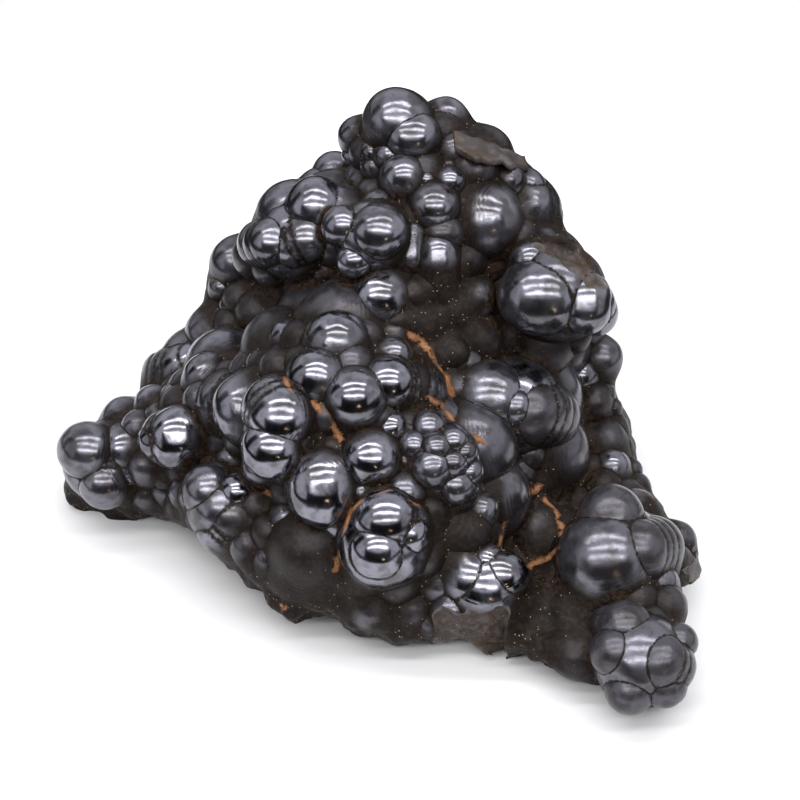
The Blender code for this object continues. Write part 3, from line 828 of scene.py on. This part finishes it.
def settle(points, reach, rounds):
    """Moves points onto the surface, and onto its creases and edges where one is within reach."""
    row = np.arange(len(points))[:, None]
    for number in range(rounds):
        which, value, slope, share = crust_at(points)
        cut, cut_slope = cut_fields(points)
        order = np.argsort(-cut, axis=1)[:, :2]
        crust, deepest = value[:, :1], cut[row, order[:, :1]]
        surface = np.maximum(crust, deepest)
        leading = np.where(crust >= deepest, 0, CREASES)
        gap = np.concatenate((value - crust + surface - crust, surface - cut[row, order]), axis=1)
        value = np.concatenate((value, cut[row, order]), axis=1)
        slope = np.concatenate((slope, cut_slope[row, order]), axis=1)
        turn = np.linalg.norm(slope - slope[row, leading], axis=2)
        active = gap / np.maximum(turn, LEAST_TURN) < reach
        active[row, leading] = True
        weight = active.astype(float)
        system = np.einsum("nk,nki,nkj->nij", weight, slope, slope) + DAMPING * np.eye(3)
        target = -np.einsum("nk,nki,nk->ni", weight, slope, value)
        move = np.linalg.solve(system, target[..., None])[..., 0]
        length = np.linalg.norm(move, axis=1, keepdims=True)
        points = points + move * np.minimum(1, LONGEST_MOVE / np.maximum(length, TINY))
    return points


def finer(values, factor):
    """A grid with this many steps in place of each one, filled in evenly."""
    for axis in range(3):
        count = (values.shape[axis] - 1) * factor + 1
        at = np.arange(count) / factor
        low = np.minimum(at.astype(int), values.shape[axis] - 2)
        shape = [1, 1, 1]
        shape[axis] = count
        part = (at - low).reshape(shape)
        values = np.take(values, low, axis=axis) * (1 - part) + np.take(values, low + 1, axis=axis) * part
    return values


def axis_places(axis, part, count):
    """The fine grid's places along one axis, in this part of it."""
    return GRID_LOW[axis] + GRID_STEP * np.arange(*part[axis].indices(count))


def stamp(crust, body, centre, radius, skirt, stretch):
    """Melts one lobe into the crust's grid, in the part of it that the lobe can reach."""
    margin = radius + skirt + abs(stretch)
    low = np.maximum(np.floor((centre - margin - GRID_LOW) / GRID_STEP).astype(int), 0)
    high = np.ceil((centre + margin - GRID_LOW) / GRID_STEP).astype(int) + 1
    part = tuple(slice(a, b) for a, b in zip(low, high))
    x, y, z = (axis_places(axis, part, body.shape[axis]) - centre[axis] for axis in range(3))
    x, y = x[:, None, None], y[:, None]
    if stretch.any():
        along = np.clip((x * stretch[0] + y * stretch[1] + z * stretch[2]) / (stretch @ stretch), -1, 1)
        x, y, z = x - along * stretch[0], y - along * stretch[1], z - along * stretch[2]
    gap = np.sqrt(x * x + y * y + z * z) - radius
    crust[part] = np.minimum(crust[part], melt(gap, body[part], skirt)[0])


def grid_field():
    """The mass's distance on a grid: lobes on the fine one, the smooth parts from a coarse one."""
    coarse_step = GRID_STEP * COARSE
    counts = np.ceil((GRID_HIGH - GRID_LOW) / coarse_step).astype(int) + 1
    axes = [GRID_LOW[axis] + coarse_step * np.arange(counts[axis]) for axis in range(3)]
    nodes = np.stack(np.meshgrid(*axes, indexing="ij"), axis=-1).reshape(-1, 3)
    groups = np.array_split(nodes, len(nodes) * RIDGES_IN_BIN // ROWS_AT_ONCE)
    coarse_body = np.concatenate([body_field(some)[0] for some in groups])
    body = finer(coarse_body.reshape(counts), COARSE)
    crust = body.copy()
    for lobe in zip(*(LOBES[name] for name in ("centre", "radius", "skirt", "stretch"))):
        stamp(crust, body, *lobe)
    cuts = finer(plain_cuts(nodes).max(axis=1).reshape(counts), COARSE)
    return np.maximum(crust, cuts)


def surface_net(field):
    """One point for each cell that the surface passes, and one quad for each grid edge that it cuts."""
    cells = np.array(field.shape) - 1
    inside = field < 0
    owners, crossings, quads = [], [], []
    for axis in range(3):
        low = tuple(slice(0, -1) if number == axis else slice(1, -1) for number in range(3))
        high = tuple(slice(1, None) if number == axis else slice(1, -1) for number in range(3))
        node = np.argwhere(inside[low] != inside[high])
        node[:, [number for number in range(3) if number != axis]] += 1
        step = np.eye(3, dtype=int)[axis]
        start, stop = field[tuple(node.T)], field[tuple((node + step).T)]
        crossing = node + (start / (start - stop))[:, None] * step
        first, second = np.eye(3, dtype=int)[(axis + 1) % 3], np.eye(3, dtype=int)[(axis + 2) % 3]
        ring = [node - first - second, node - second, node, node - first]
        ring = np.stack([np.ravel_multi_index(tuple(cell.T), tuple(cells)) for cell in ring], axis=1)
        quads.append(np.where((start < 0)[:, None], ring, ring[:, ::-1]))
        owners.append(ring.ravel())
        crossings.append(np.repeat(crossing, 4, axis=0))
    owners, crossings, quads = np.concatenate(owners), np.concatenate(crossings), np.concatenate(quads)
    used, number = np.unique(owners, return_inverse=True)
    count = np.bincount(number)
    points = np.stack([np.bincount(number, crossings[:, axis]) / count for axis in range(3)], axis=1)
    return GRID_LOW + points * GRID_STEP, np.searchsorted(used, quads)


def split_quads(points, quads):
    """Two triangles for each quad, cut along its shorter diagonal."""
    corner = points[quads]
    first = np.linalg.norm(corner[:, 0] - corner[:, 2], axis=1)
    second = np.linalg.norm(corner[:, 1] - corner[:, 3], axis=1)
    turned_quads = np.where((first <= second)[:, None], quads, np.roll(quads, 1, axis=1))
    return np.concatenate([turned_quads[:, [0, 1, 2]], turned_quads[:, [0, 2, 3]]])


def mesh_from(name, points, faces):
    mesh = bpy.data.meshes.new(name)
    mesh.from_pydata((points * MM).tolist(), [], faces.tolist())
    mesh.update()
    return mesh


def fewer_faces(points, faces):
    """The same surface in at most MOST_TRIANGLES triangles, its creases kept."""
    mesh = mesh_from("dense", points, faces)
    dense = bpy.data.objects.new("dense", mesh)
    bpy.context.scene.collection.objects.link(dense)
    fewer = dense.modifiers.new("fewer", "DECIMATE")
    fewer.ratio = min(1, MOST_TRIANGLES / len(faces))
    made = bpy.data.meshes.new_from_object(dense.evaluated_get(bpy.context.evaluated_depsgraph_get()))
    bpy.data.objects.remove(dense)
    bpy.data.meshes.remove(mesh)
    made.calc_loop_triangles()
    points = np.empty(len(made.vertices) * 3)
    made.vertices.foreach_get("co", points)
    faces = np.empty(len(made.loop_triangles) * 3, dtype=int)
    made.loop_triangles.foreach_get("vertices", faces)
    bpy.data.meshes.remove(made)
    return points.reshape(-1, 3) / MM, faces.reshape(-1, 3)


def largest_part(count, faces):
    """Which faces belong to the largest connected part."""
    label = np.arange(count)
    while True:
        lowest = label[faces].min(axis=1)
        before = label.copy()
        for corner in range(3):
            np.minimum.at(label, faces[:, corner], lowest)
        label = label[label]
        if (label == before).all():
            break
    parts, sizes = np.unique(label[faces[:, 0]], return_counts=True)
    return label[faces[:, 0]] == parts[sizes.argmax()]


def fine_mesh():
    points, quads = surface_net(grid_field())
    points = settle(points, FIRST_REACH, FIRST_ROUNDS)
    faces = split_quads(points, quads)
    points, faces = fewer_faces(points, faces)
    points = settle(points, LAST_REACH, LAST_ROUNDS)
    faces = faces[largest_part(len(points), faces)]
    kept, numbers = np.unique(faces, return_inverse=True)
    return points[kept], numbers.reshape(-1, 3)


def along_line(line, part):
    """The place in mm at this part of a line of pixels and depths."""
    at = min(part * (len(line) - 1), len(line) - 1 - JUST_BEFORE)
    first, second = line[int(at)], line[int(at) + 1]
    return np.array(place(*(a + (b - a) * (at - int(at)) for a, b in zip(first, second)))) / MM


def rim_of(columns, rows):
    """The corners round a grid of this many columns and rows of quads, in order."""
    across = [row for row in range(rows + 1)]
    across += [column * (rows + 1) + rows for column in range(1, columns + 1)]
    across += [columns * (rows + 1) + row for row in range(rows - 1, -1, -1)]
    return np.array(across + [column * (rows + 1) for column in range(columns - 1, 0, -1)])


def flake(back, front):
    """A thin broken plate from its back edge in the crust to its jagged front edge, closed all round."""
    top = []
    for column in range(FLAKE_COLUMNS + 1):
        part = column / FLAKE_COLUMNS
        start, stop = along_line(back, part), along_line(front, part)
        stop = stop + (stop - start) * FLAKE_JAGS * noise_at(stop[None], FLAKE_WAVES[1])[0][0]
        top += [start + (stop - start) * row / FLAKE_ROWS for row in range(FLAKE_ROWS + 1)]
    top = np.array(top)
    top[:, 2] += bumps(top, FLAKE_BUMPS, FLAKE_WAVES)[0]
    under = top - (0, 0, FLAKE_THICKNESS)
    under[:, 2] += bumps(under, FLAKE_BUMPS)[0]
    columns, rows = np.meshgrid(range(FLAKE_COLUMNS), range(FLAKE_ROWS), indexing="ij")
    corner = (columns * (FLAKE_ROWS + 1) + rows).ravel()
    quads = np.stack([corner, corner + 1, corner + FLAKE_ROWS + 2, corner + FLAKE_ROWS + 1], axis=1)
    rim = rim_of(FLAKE_COLUMNS, FLAKE_ROWS)
    after = np.roll(rim, -1)
    sides = np.stack([rim, rim + len(top), after + len(top), after], axis=1)
    quads = np.concatenate([quads, quads[:, ::-1] + len(top), sides])
    points = np.concatenate([top, under])
    return points, split_quads(points, quads)


def with_flakes(points, faces):
    """The mesh with its flakes, as points and faces."""
    for row in FLAKES.values():
        more, more_faces = flake(*row)
        faces = np.concatenate([faces, more_faces + len(points)])
        points = np.concatenate([points, more])
    return points, faces


def openness(points, normals):
    """How open each point lies, from 0 deep in a crease to 1, by the distances along its normal."""
    total = 0
    for step in OPEN_STEPS:
        crust = crust_at(points + normals * step, 1)[1][:, 0]
        total = total + np.clip(crust / step, 0, 1)
    return total / len(OPEN_STEPS)


def rust_places(tree):
    """Points in mm along the rust-orange lines, where the eye sees them on the mass."""
    places = []
    for line in RUST_LINES:
        for (x, y), (next_x, next_y) in zip(line, line[1:]):
            count = max(1, round(math.hypot(next_x - x, next_y - y) / RUST_STEP))
            for number in range(count + 1):
                part = number / count
                sight = sight_at(x + (next_x - x) * part, y + (next_y - y) * part)
                hit = tree.ray_cast(EYE, sight)[0]
                if hit is not None:
                    places.append(np.array(hit) / MM)
    return np.array(places)


def nearest_of(points, places, most):
    """Distance from each point to the nearest of these places, or most where that is less."""
    found = np.full(len(points), most)
    for spot in places:
        found = np.minimum(found, np.linalg.norm(points - spot, axis=1))
    return found


def normals_within(points, faces, group):
    """Corner normals that are smooth inside each group of faces and sharp between two."""
    first, second, third = points[faces].transpose(1, 0, 2)
    flat = np.cross(second - first, third - first)
    key = faces * 2 + group[:, None]
    total = np.zeros((key.max() + 1, 3))
    for axis in range(3):
        total[:, axis] = np.bincount(key.ravel(), np.repeat(flat[:, axis], 3), minlength=len(total))
    smooth = total[key]
    return smooth / (np.linalg.norm(smooth, axis=2, keepdims=True) + TINY)


def add_number(mesh, name, values, domain="CORNER"):
    attribute = mesh.attributes.new(name, "FLOAT", domain)
    attribute.data.foreach_set("value", np.asarray(values, dtype=np.float32).ravel())


def averaged(points, faces, normals):
    """One normal for each point, of those that its corners have."""
    total = np.stack([np.bincount(faces.ravel(), normals[..., axis].ravel(), minlength=len(points))
                      for axis in range(3)], axis=1)
    return total / (np.linalg.norm(total, axis=1, keepdims=True) + TINY)


def dress(mesh, points, faces, crusted):
    """Smooth normals from the distance itself, and the numbers that the material reads at each corner. The
    faces after the crusted ones are flakes."""
    middle = points[faces].mean(axis=1)
    leading, crust = crust_at(middle, 1)[:2]
    broken = (cut_fields(middle)[0].max(axis=1) > crust[:, 0]).astype(int)
    broken[crusted:] = 1
    body, swell = body_field(points), bumps(points, SWELL, WAVER)
    corner = points[faces].reshape(-1, 3)
    at = faces.ravel()
    which = np.repeat(leading, 3, axis=0)
    body, swell = [part[at] for part in body], [part[at] for part in swell]
    value, slope, share = (part[:, 0] for part in crust_by(corner, body, swell, which))
    smooth = slope / np.linalg.norm(slope, axis=1, keepdims=True)
    plain = normals_within(points, faces, broken).reshape(-1, 3)
    normals = np.where(np.repeat(broken, 3)[:, None] == 1, plain, smooth)
    mesh.normals_split_custom_set(normals)

    way = lobe_gap(corner, which)[1][:, 0]
    rise = (way * LOBES["pole"][which[:, 0]]).sum(axis=1)
    around, others = crust_at(points)[:2]
    other = np.where(around[at, 0] == which[:, 0], others[at, 1], others[at, 0])
    add_number(mesh, "polish", LOBES["polish"][which[:, 0]])
    add_number(mesh, "cap", share)
    add_number(mesh, "rise", rise)
    add_number(mesh, "ring_mm", np.arccos(np.clip(rise, -1, 1)) * LOBES["radius"][which[:, 0]])
    add_number(mesh, "crease_mm", np.clip(abs(other - value), 0, CREASE_FAR))
    add_number(mesh, "broken", np.repeat(broken, 3))
    add_number(mesh, "depth_mm", -value)
    mean_normals = averaged(points, faces, normals.reshape(-1, 3, 3))
    add_number(mesh, "open", openness(points, mean_normals), "POINT")
    tree = BVHTree.FromPolygons((points * MM).tolist(), faces.tolist())
    add_number(mesh, "rust_mm", nearest_of(points, rust_places(tree), RUST_FAR), "POINT")


class Graph:
    """The nodes of a material or a world, built from numbers, colours and the outputs of other nodes."""

    def __init__(self, tree):
        self.tree = tree

    def link(self, value, socket):
        if isinstance(value, bpy.types.NodeSocket):
            self.tree.links.new(value, socket)
        elif value is not None:
            socket.default_value = value

    def node(self, kind, *values, **settings):
        """A node with these settings, and these values for its first inputs."""
        made = self.tree.nodes.new(kind)
        for name, setting in settings.items():
            setattr(made, name, setting)
        for socket, value in zip(made.inputs, values):
            self.link(value, socket)
        return made

    def math(self, operation, *values):
        return self.node("ShaderNodeMath", *values, operation=operation).outputs[0]

    def times(self, first, *others):
        for other in others:
            first = self.math("MULTIPLY", first, other)
        return first

    def scaled(self, value, factor, offset):
        return self.math("MULTIPLY_ADD", value, factor, offset)

    def ramp(self, value, start, stop):
        """From 0 at start to 1 at stop, smoothly."""
        made = self.node("ShaderNodeMapRange", value, start, stop, interpolation_type="SMOOTHSTEP")
        return made.outputs[0]

    def mix(self, share, first, second):
        """The first colour, going over to the second with share."""
        made = self.node("ShaderNodeMix", data_type="RGBA")
        colours = [socket for socket in made.inputs if socket.type == "RGBA"]
        for socket, value in zip((made.inputs["Factor"], *colours), (share, first, second)):
            self.link(value, socket)
        return next(socket for socket in made.outputs if socket.type == "RGBA")

    def between(self, share, first, second):
        """The first number, going over to the second with share."""
        return self.scaled(self.math("SUBTRACT", second, first), share, first)

    def attribute(self, name):
        return self.node("ShaderNodeAttribute", attribute_name=name).outputs["Fac"]

    def noise(self, where, scale, detail, rough):
        return self.node("ShaderNodeTexNoise", where, None, scale, detail, rough).outputs[0]


def colour(red, green, blue):
    return (red, green, blue, 1)


POLISHED = colour(0.275, 0.275, 0.320)
POLISHED_DARK = colour(0.120, 0.115, 0.125)
MATTE = colour(0.0060, 0.0042, 0.0036)
MATTE_PALE = colour(0.0210, 0.0125, 0.0080)
DUST = colour(0.046, 0.027, 0.016)
FLECK = colour(0.075, 0.048, 0.030)
SPECK = colour(0.50, 0.38, 0.26)
CLAY = colour(0.13, 0.045, 0.013)
CLAY_PALE = colour(0.30, 0.155, 0.080)
FRACTURE = colour(0.070, 0.060, 0.058)
FRACTURE_PALE = colour(0.165, 0.150, 0.150)
FRACTURE_BROWN = colour(0.070, 0.050, 0.036)

# The noises that the material is patterned with, each as scale, detail and roughness.
NOISES = {"patches": (330.0, 4.0, 0.55), "grain": (1500.0, 4.0, 0.65), "fine": (5200.0, 3.0, 0.7)}
NUMBERS = ("polish", "cap", "rise", "ring_mm", "crease_mm", "broken", "depth_mm", "open", "rust_mm")

# Roughness and metalness of each kind of surface.
POLISHED_FINISH = (0.16, 1.0)
MATTE_FINISH = (0.56, 0.30)
FRACTURE_FINISH = (0.5, 0.45)
DUST_FINISH = (0.9, 0.0)
CLAY_FINISH = (0.95, 0.0)
SPECK_FINISH = (0.8, 0.0)
SPECULAR = 0.22

BAND_MM = 0.62  # from one growth band to the next, along the lobe
LAYER_MM = 1.4  # from one layer of the broken faces to the next, in from the crust
SPECK_SCALE = 1900.0
RELIEF_STRENGTH = 0.6
RELIEF_DISTANCE = 0.05 * MM


def gloss_and_shade_of(graph, spot):
    """From 0 on matte ground to 1 on a polished top that is clear of creases and hollows. Its drop in
    creases and hollows darkens the colour there: partly the real matte ground, partly painted shade.
    """
    edge = graph.scaled(spot["patches"], 0.9, -0.45)
    top = graph.ramp(graph.scaled(edge, 0.7, spot["cap"]), 0.55, 1.00)
    risen = graph.ramp(graph.scaled(edge, 0.6, spot["rise"]), -0.15, 0.40)
    # Painted shade: near creases and where the mass closes round a point, gloss and with it the colour fall
    # to the dark matte.
    clear = graph.ramp(graph.scaled(spot["grain"], 0.4, spot["crease_mm"]), 0.16, 0.36)
    outside_painted_shade = graph.ramp(spot["open"], 0.22, 0.50)
    return graph.times(spot["polish"], risen, top, clear, outside_painted_shade)


def bands_of(graph, spot):
    """Growth bands round each lobe, from -1 to 1, on its flanks and in patches."""
    turn = graph.scaled(spot["patches"], 3.0, graph.times(spot["ring_mm"], 2 * math.pi / BAND_MM))
    flank = graph.ramp(spot["rise"], 0.75, 0.35)
    return graph.times(graph.math("SINE", turn), flank, graph.ramp(spot["patches"], 0.42, 0.60))


def crust_look(graph, spot, gloss_and_shade, bands):
    """Colour, roughness and metalness of the crust: dark metal where it is glossy, brown where not; the dark
    brown in creases and hollows is partly painted shade.
    """
    film = graph.mix(graph.ramp(spot["patches"], 0.38, 0.66), POLISHED, POLISHED_DARK)
    bare = graph.mix(graph.ramp(spot["grain"], 0.35, 0.7), MATTE, MATTE_PALE)
    fleck = graph.times(graph.ramp(spot["fine"], 0.60, 0.72), graph.ramp(spot["patches"], 0.40, 0.62))
    bare = graph.mix(fleck, bare, FLECK)
    rough = graph.between(graph.math("POWER", gloss_and_shade, 0.7), MATTE_FINISH[0], POLISHED_FINISH[0])
    return (
        # The colour darkens with the painted shade that the gloss mask carries in creases and hollows.
        graph.mix(graph.math("POWER", gloss_and_shade, 2.3), bare, film),
        graph.scaled(bands, 0.05, rough),
        graph.between(gloss_and_shade, MATTE_FINISH[1], POLISHED_FINISH[1]),
    )


def rock_colour(graph, spot):
    """Broken faces: layers along the crust, pale where they are fresh."""
    layer = graph.scaled(spot["grain"], 2.5, graph.times(spot["depth_mm"], 2 * math.pi / LAYER_MM))
    layers = graph.ramp(graph.math("SINE", layer), -1.0, 1.0)
    rock = graph.mix(graph.times(layers, spot["grain"]), FRACTURE, FRACTURE_PALE)
    return graph.mix(graph.ramp(spot["patches"], 0.45, 0.7), rock, FRACTURE_BROWN)


def dust_share(graph, spot):
    """Dust in the valleys."""
    return graph.times(graph.ramp(spot["open"], 0.62, 0.25), graph.ramp(spot["grain"], 0.35, 0.62), 0.75)


def clay_share(graph, spot):
    """Clay along the marked lines, where they run in a hollow."""
    width = graph.scaled(spot["grain"], 1.5, -0.12)
    near = graph.ramp(graph.math("SUBTRACT", width, spot["rust_mm"]), 0.0, 0.16)
    return graph.times(near, graph.ramp(graph.scaled(spot["grain"], 0.3, spot["open"]), 1.02, 0.88))


def clay_colour(graph, spot):
    pale = graph.ramp(graph.math("SUBTRACT", spot["fine"], spot["rust_mm"]), -0.1, 0.4)
    return graph.mix(pale, CLAY, CLAY_PALE)


def speck_share(graph, spot, gloss_and_shade):
    """Motes on what is matte, more of them in the creases."""
    cells = graph.node("ShaderNodeTexVoronoi", spot["where"])
    cells.inputs["Scale"].default_value = SPECK_SCALE
    seldom = graph.node("ShaderNodeSeparateColor", cells.outputs["Color"]).outputs[0]
    few = graph.scaled(graph.ramp(spot["crease_mm"], 0.30, 0.05), -0.45, 0.93)
    small = graph.math("LESS_THAN", cells.outputs["Distance"], graph.scaled(spot["grain"], 0.22, 0.02))
    return graph.times(small, graph.math("GREATER_THAN", seldom, few), graph.ramp(gloss_and_shade, 0.5, 0.15))


def relief_of(graph, spot, gloss_and_shade, bands):
    """Fine relief: bands on the flanks, grain on what is matte, a faint waver on the polish."""
    matte = graph.math("SUBTRACT", 1.0, gloss_and_shade)
    height = graph.scaled(graph.times(spot["fine"], matte), 0.9, graph.times(bands, 0.25))
    height = graph.scaled(spot["grain"], graph.scaled(matte, 0.8, 0.2), height)
    relief = graph.node("ShaderNodeBump")
    for name, value in (("Strength", RELIEF_STRENGTH), ("Distance", RELIEF_DISTANCE), ("Height", height)):
        graph.link(value, relief.inputs[name])
    return relief.outputs["Normal"]


def hematite_material():
    material = bpy.data.materials.new("hematite")
    material.use_nodes = True
    graph = Graph(material.node_tree)
    where = graph.node("ShaderNodeTexCoord").outputs["Object"]
    spot = {name: graph.noise(where, *setting) for name, setting in NOISES.items()}
    spot.update((name, graph.attribute(name)) for name in NUMBERS)
    spot["where"] = where
    gloss_and_shade, bands = gloss_and_shade_of(graph, spot), bands_of(graph, spot)
    look = crust_look(graph, spot, gloss_and_shade, bands)
    films = (
        (spot["broken"], rock_colour(graph, spot), FRACTURE_FINISH),
        (dust_share(graph, spot), DUST, DUST_FINISH),
        (clay_share(graph, spot), clay_colour(graph, spot), CLAY_FINISH),
        (speck_share(graph, spot, gloss_and_shade), SPECK, SPECK_FINISH),
    )
    for share, tint, finish in films:
        numbers = [graph.between(share, under, over) for under, over in zip(look[1:], finish)]
        look = (graph.mix(share, look[0], tint), *numbers)
    shader = material.node_tree.nodes["Principled BSDF"]
    for name, value in zip(("Base Color", "Roughness", "Metallic"), look):
        graph.link(value, shader.inputs[name])
    shader.inputs["Specular IOR Level"].default_value = SPECULAR
    graph.link(relief_of(graph, spot, gloss_and_shade, bands), shader.inputs["Normal"])
    return material


def hematite_mass():
    points, faces = fine_mesh()
    crusted = len(faces)
    points, faces = with_flakes(points, faces)
    mesh = mesh_from("hematite_crust", points - np.array((0, 0, BASE_CUT)), faces)
    mesh.polygons.foreach_set("use_smooth", [True] * len(faces))
    dress(mesh, points, faces, crusted)
    mesh.materials.append(hematite_material())
    mass = bpy.data.objects.new("hematite_crust", mesh)
    bpy.context.scene.collection.objects.link(mass)
    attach(mass, "root")
    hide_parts("hematite_mass")


FLOOR_RADIUS = 0.125
FLOOR_SEGMENTS = 96
FLOOR_COLOUR = colour(0.80, 0.80, 0.80)
FLOOR_ROUGHNESS = 0.7

# Bars of light overhead, each as its lean from straight up towards the back in degrees, and warm lamps in
# front, each as its direction. Sizes and distances are in metres, powers in watts.
BARS = (8, -18, -42)
BAR_DISTANCE = 1.1
BAR_SIZE = (1.75, 0.13)
BAR_POWER = 6.5
BAR_TINT = (1, 1, 1)
LAMPS = ((0.30, -0.94, 0.14), (0.37, -0.92, 0.10))
LAMP_DISTANCE = 1.2
LAMP_SIZE = (0.035, 0.035)
LAMP_POWER = 0.12
LAMP_TINT = (1, 0.72, 0.42)

# The tent of light round it. A part of it is where all its ramps are full, each as an axis, start and stop.
TENT_DARK = {
    "front": (("y", -0.34, -0.46), ("side", 0.84, 0.76), ("z", 0.54, 0.44)),
    "left_gap": (("x", -0.70, -0.76), ("y", 0.46, 0.38), ("y", 0.04, 0.12)),
    "below": (("z", 0.02, -0.04),),
}
TENT_TOP = (("z", 0.70, 0.90),)
TENT_BACK = (("y", 0.45, 0.60), ("z", 0.36, 0.16))
WALL_LIGHT = colour(0.95, 0.95, 1.00)
TOP_LIGHT = colour(0.60, 0.60, 0.65)
BACK_LIGHT = colour(0.50, 0.50, 0.52)
DARK_LIGHT = colour(0.02, 0.02, 0.022)
BACKDROP = colour(1, 1, 1)
SENSOR_MM = 36


def floor():
    """A plain pale disc."""
    bm = bmesh.new()
    bmesh.ops.create_circle(bm, cap_ends=True, segments=FLOOR_SEGMENTS, radius=FLOOR_RADIUS)
    mesh = bpy.data.meshes.new("floor")
    bm.to_mesh(mesh)
    bm.free()
    material = bpy.data.materials.new("floor")
    material.use_nodes = True
    shader = material.node_tree.nodes["Principled BSDF"]
    shader.inputs["Base Color"].default_value = FLOOR_COLOUR
    shader.inputs["Roughness"].default_value = FLOOR_ROUGHNESS
    shader.inputs["Specular IOR Level"].default_value = 0.0
    mesh.materials.append(material)
    disc = bpy.data.objects.new("floor", mesh)
    bpy.context.scene.collection.objects.link(disc)


def area_light(name, direction, distance, size, power, tint):
    light = bpy.data.lights.new(name, "AREA")
    light.shape = "RECTANGLE"
    light.size, light.size_y = size
    light.energy = power
    light.color = tint
    lamp = bpy.data.objects.new(name, light)
    direction = Vector(direction).normalized()
    lamp.location = direction * distance
    lamp.rotation_euler = direction.to_track_quat("Z", "Y").to_euler()
    lamp.visible_camera = False
    bpy.context.scene.collection.objects.link(lamp)


def lights():
    for number, lean in enumerate(map(math.radians, BARS)):
        direction = (0, math.sin(lean), math.cos(lean))
        area_light(f"bar_{number}", direction, BAR_DISTANCE, BAR_SIZE, BAR_POWER, BAR_TINT)
    for number, direction in enumerate(LAMPS):
        area_light(f"lamp_{number}", direction, LAMP_DISTANCE, LAMP_SIZE, LAMP_POWER, LAMP_TINT)


def world():
    """A light tent: pale walls, dark openings in front, at the left and below, and white for the camera."""
    made = bpy.data.worlds.new("tent")
    made.use_nodes = True
    bpy.context.scene.world = made
    graph = Graph(made.node_tree)
    graph.tree.nodes.clear()
    where = graph.node("ShaderNodeTexCoord").outputs["Generated"]
    axes = dict(zip("xyz", graph.node("ShaderNodeSeparateXYZ", where).outputs))
    axes["side"] = graph.math("ABSOLUTE", axes["x"])

    def part(ramps):
        return graph.times(*[graph.ramp(axes[name], start, stop) for name, start, stop in ramps])

    light = graph.mix(part(TENT_TOP), WALL_LIGHT, TOP_LIGHT)
    light = graph.mix(part(TENT_BACK), light, BACK_LIGHT)
    dark = 0.0
    for ramps in TENT_DARK.values():
        dark = graph.math("MAXIMUM", dark, part(ramps))
    light = graph.mix(dark, light, DARK_LIGHT)
    seen = graph.node("ShaderNodeLightPath").outputs["Is Camera Ray"]
    background = graph.node("ShaderNodeBackground", graph.mix(seen, light, BACKDROP), 1.0)
    graph.node("ShaderNodeOutputWorld", background.outputs[0])


def camera():
    lens = bpy.data.cameras.new("camera")
    lens.sensor_width = SENSOR_MM
    lens.lens = lens.sensor_width * VIEW_DISTANCE / FRAME_WIDTH
    lens.clip_start = 0.01
    made = bpy.data.objects.new("camera", lens)
    made.location = EYE - Vector((0, 0, BASE_CUT)) * MM
    made.rotation_euler = (math.pi / 2 - VIEW_ELEVATION, 0, 0)
    bpy.context.scene.collection.objects.link(made)
    bpy.context.scene.camera = made


hematite_mass()
floor()
lights()
world()
camera()
bpy.context.scene.view_settings.view_transform = "Standard"
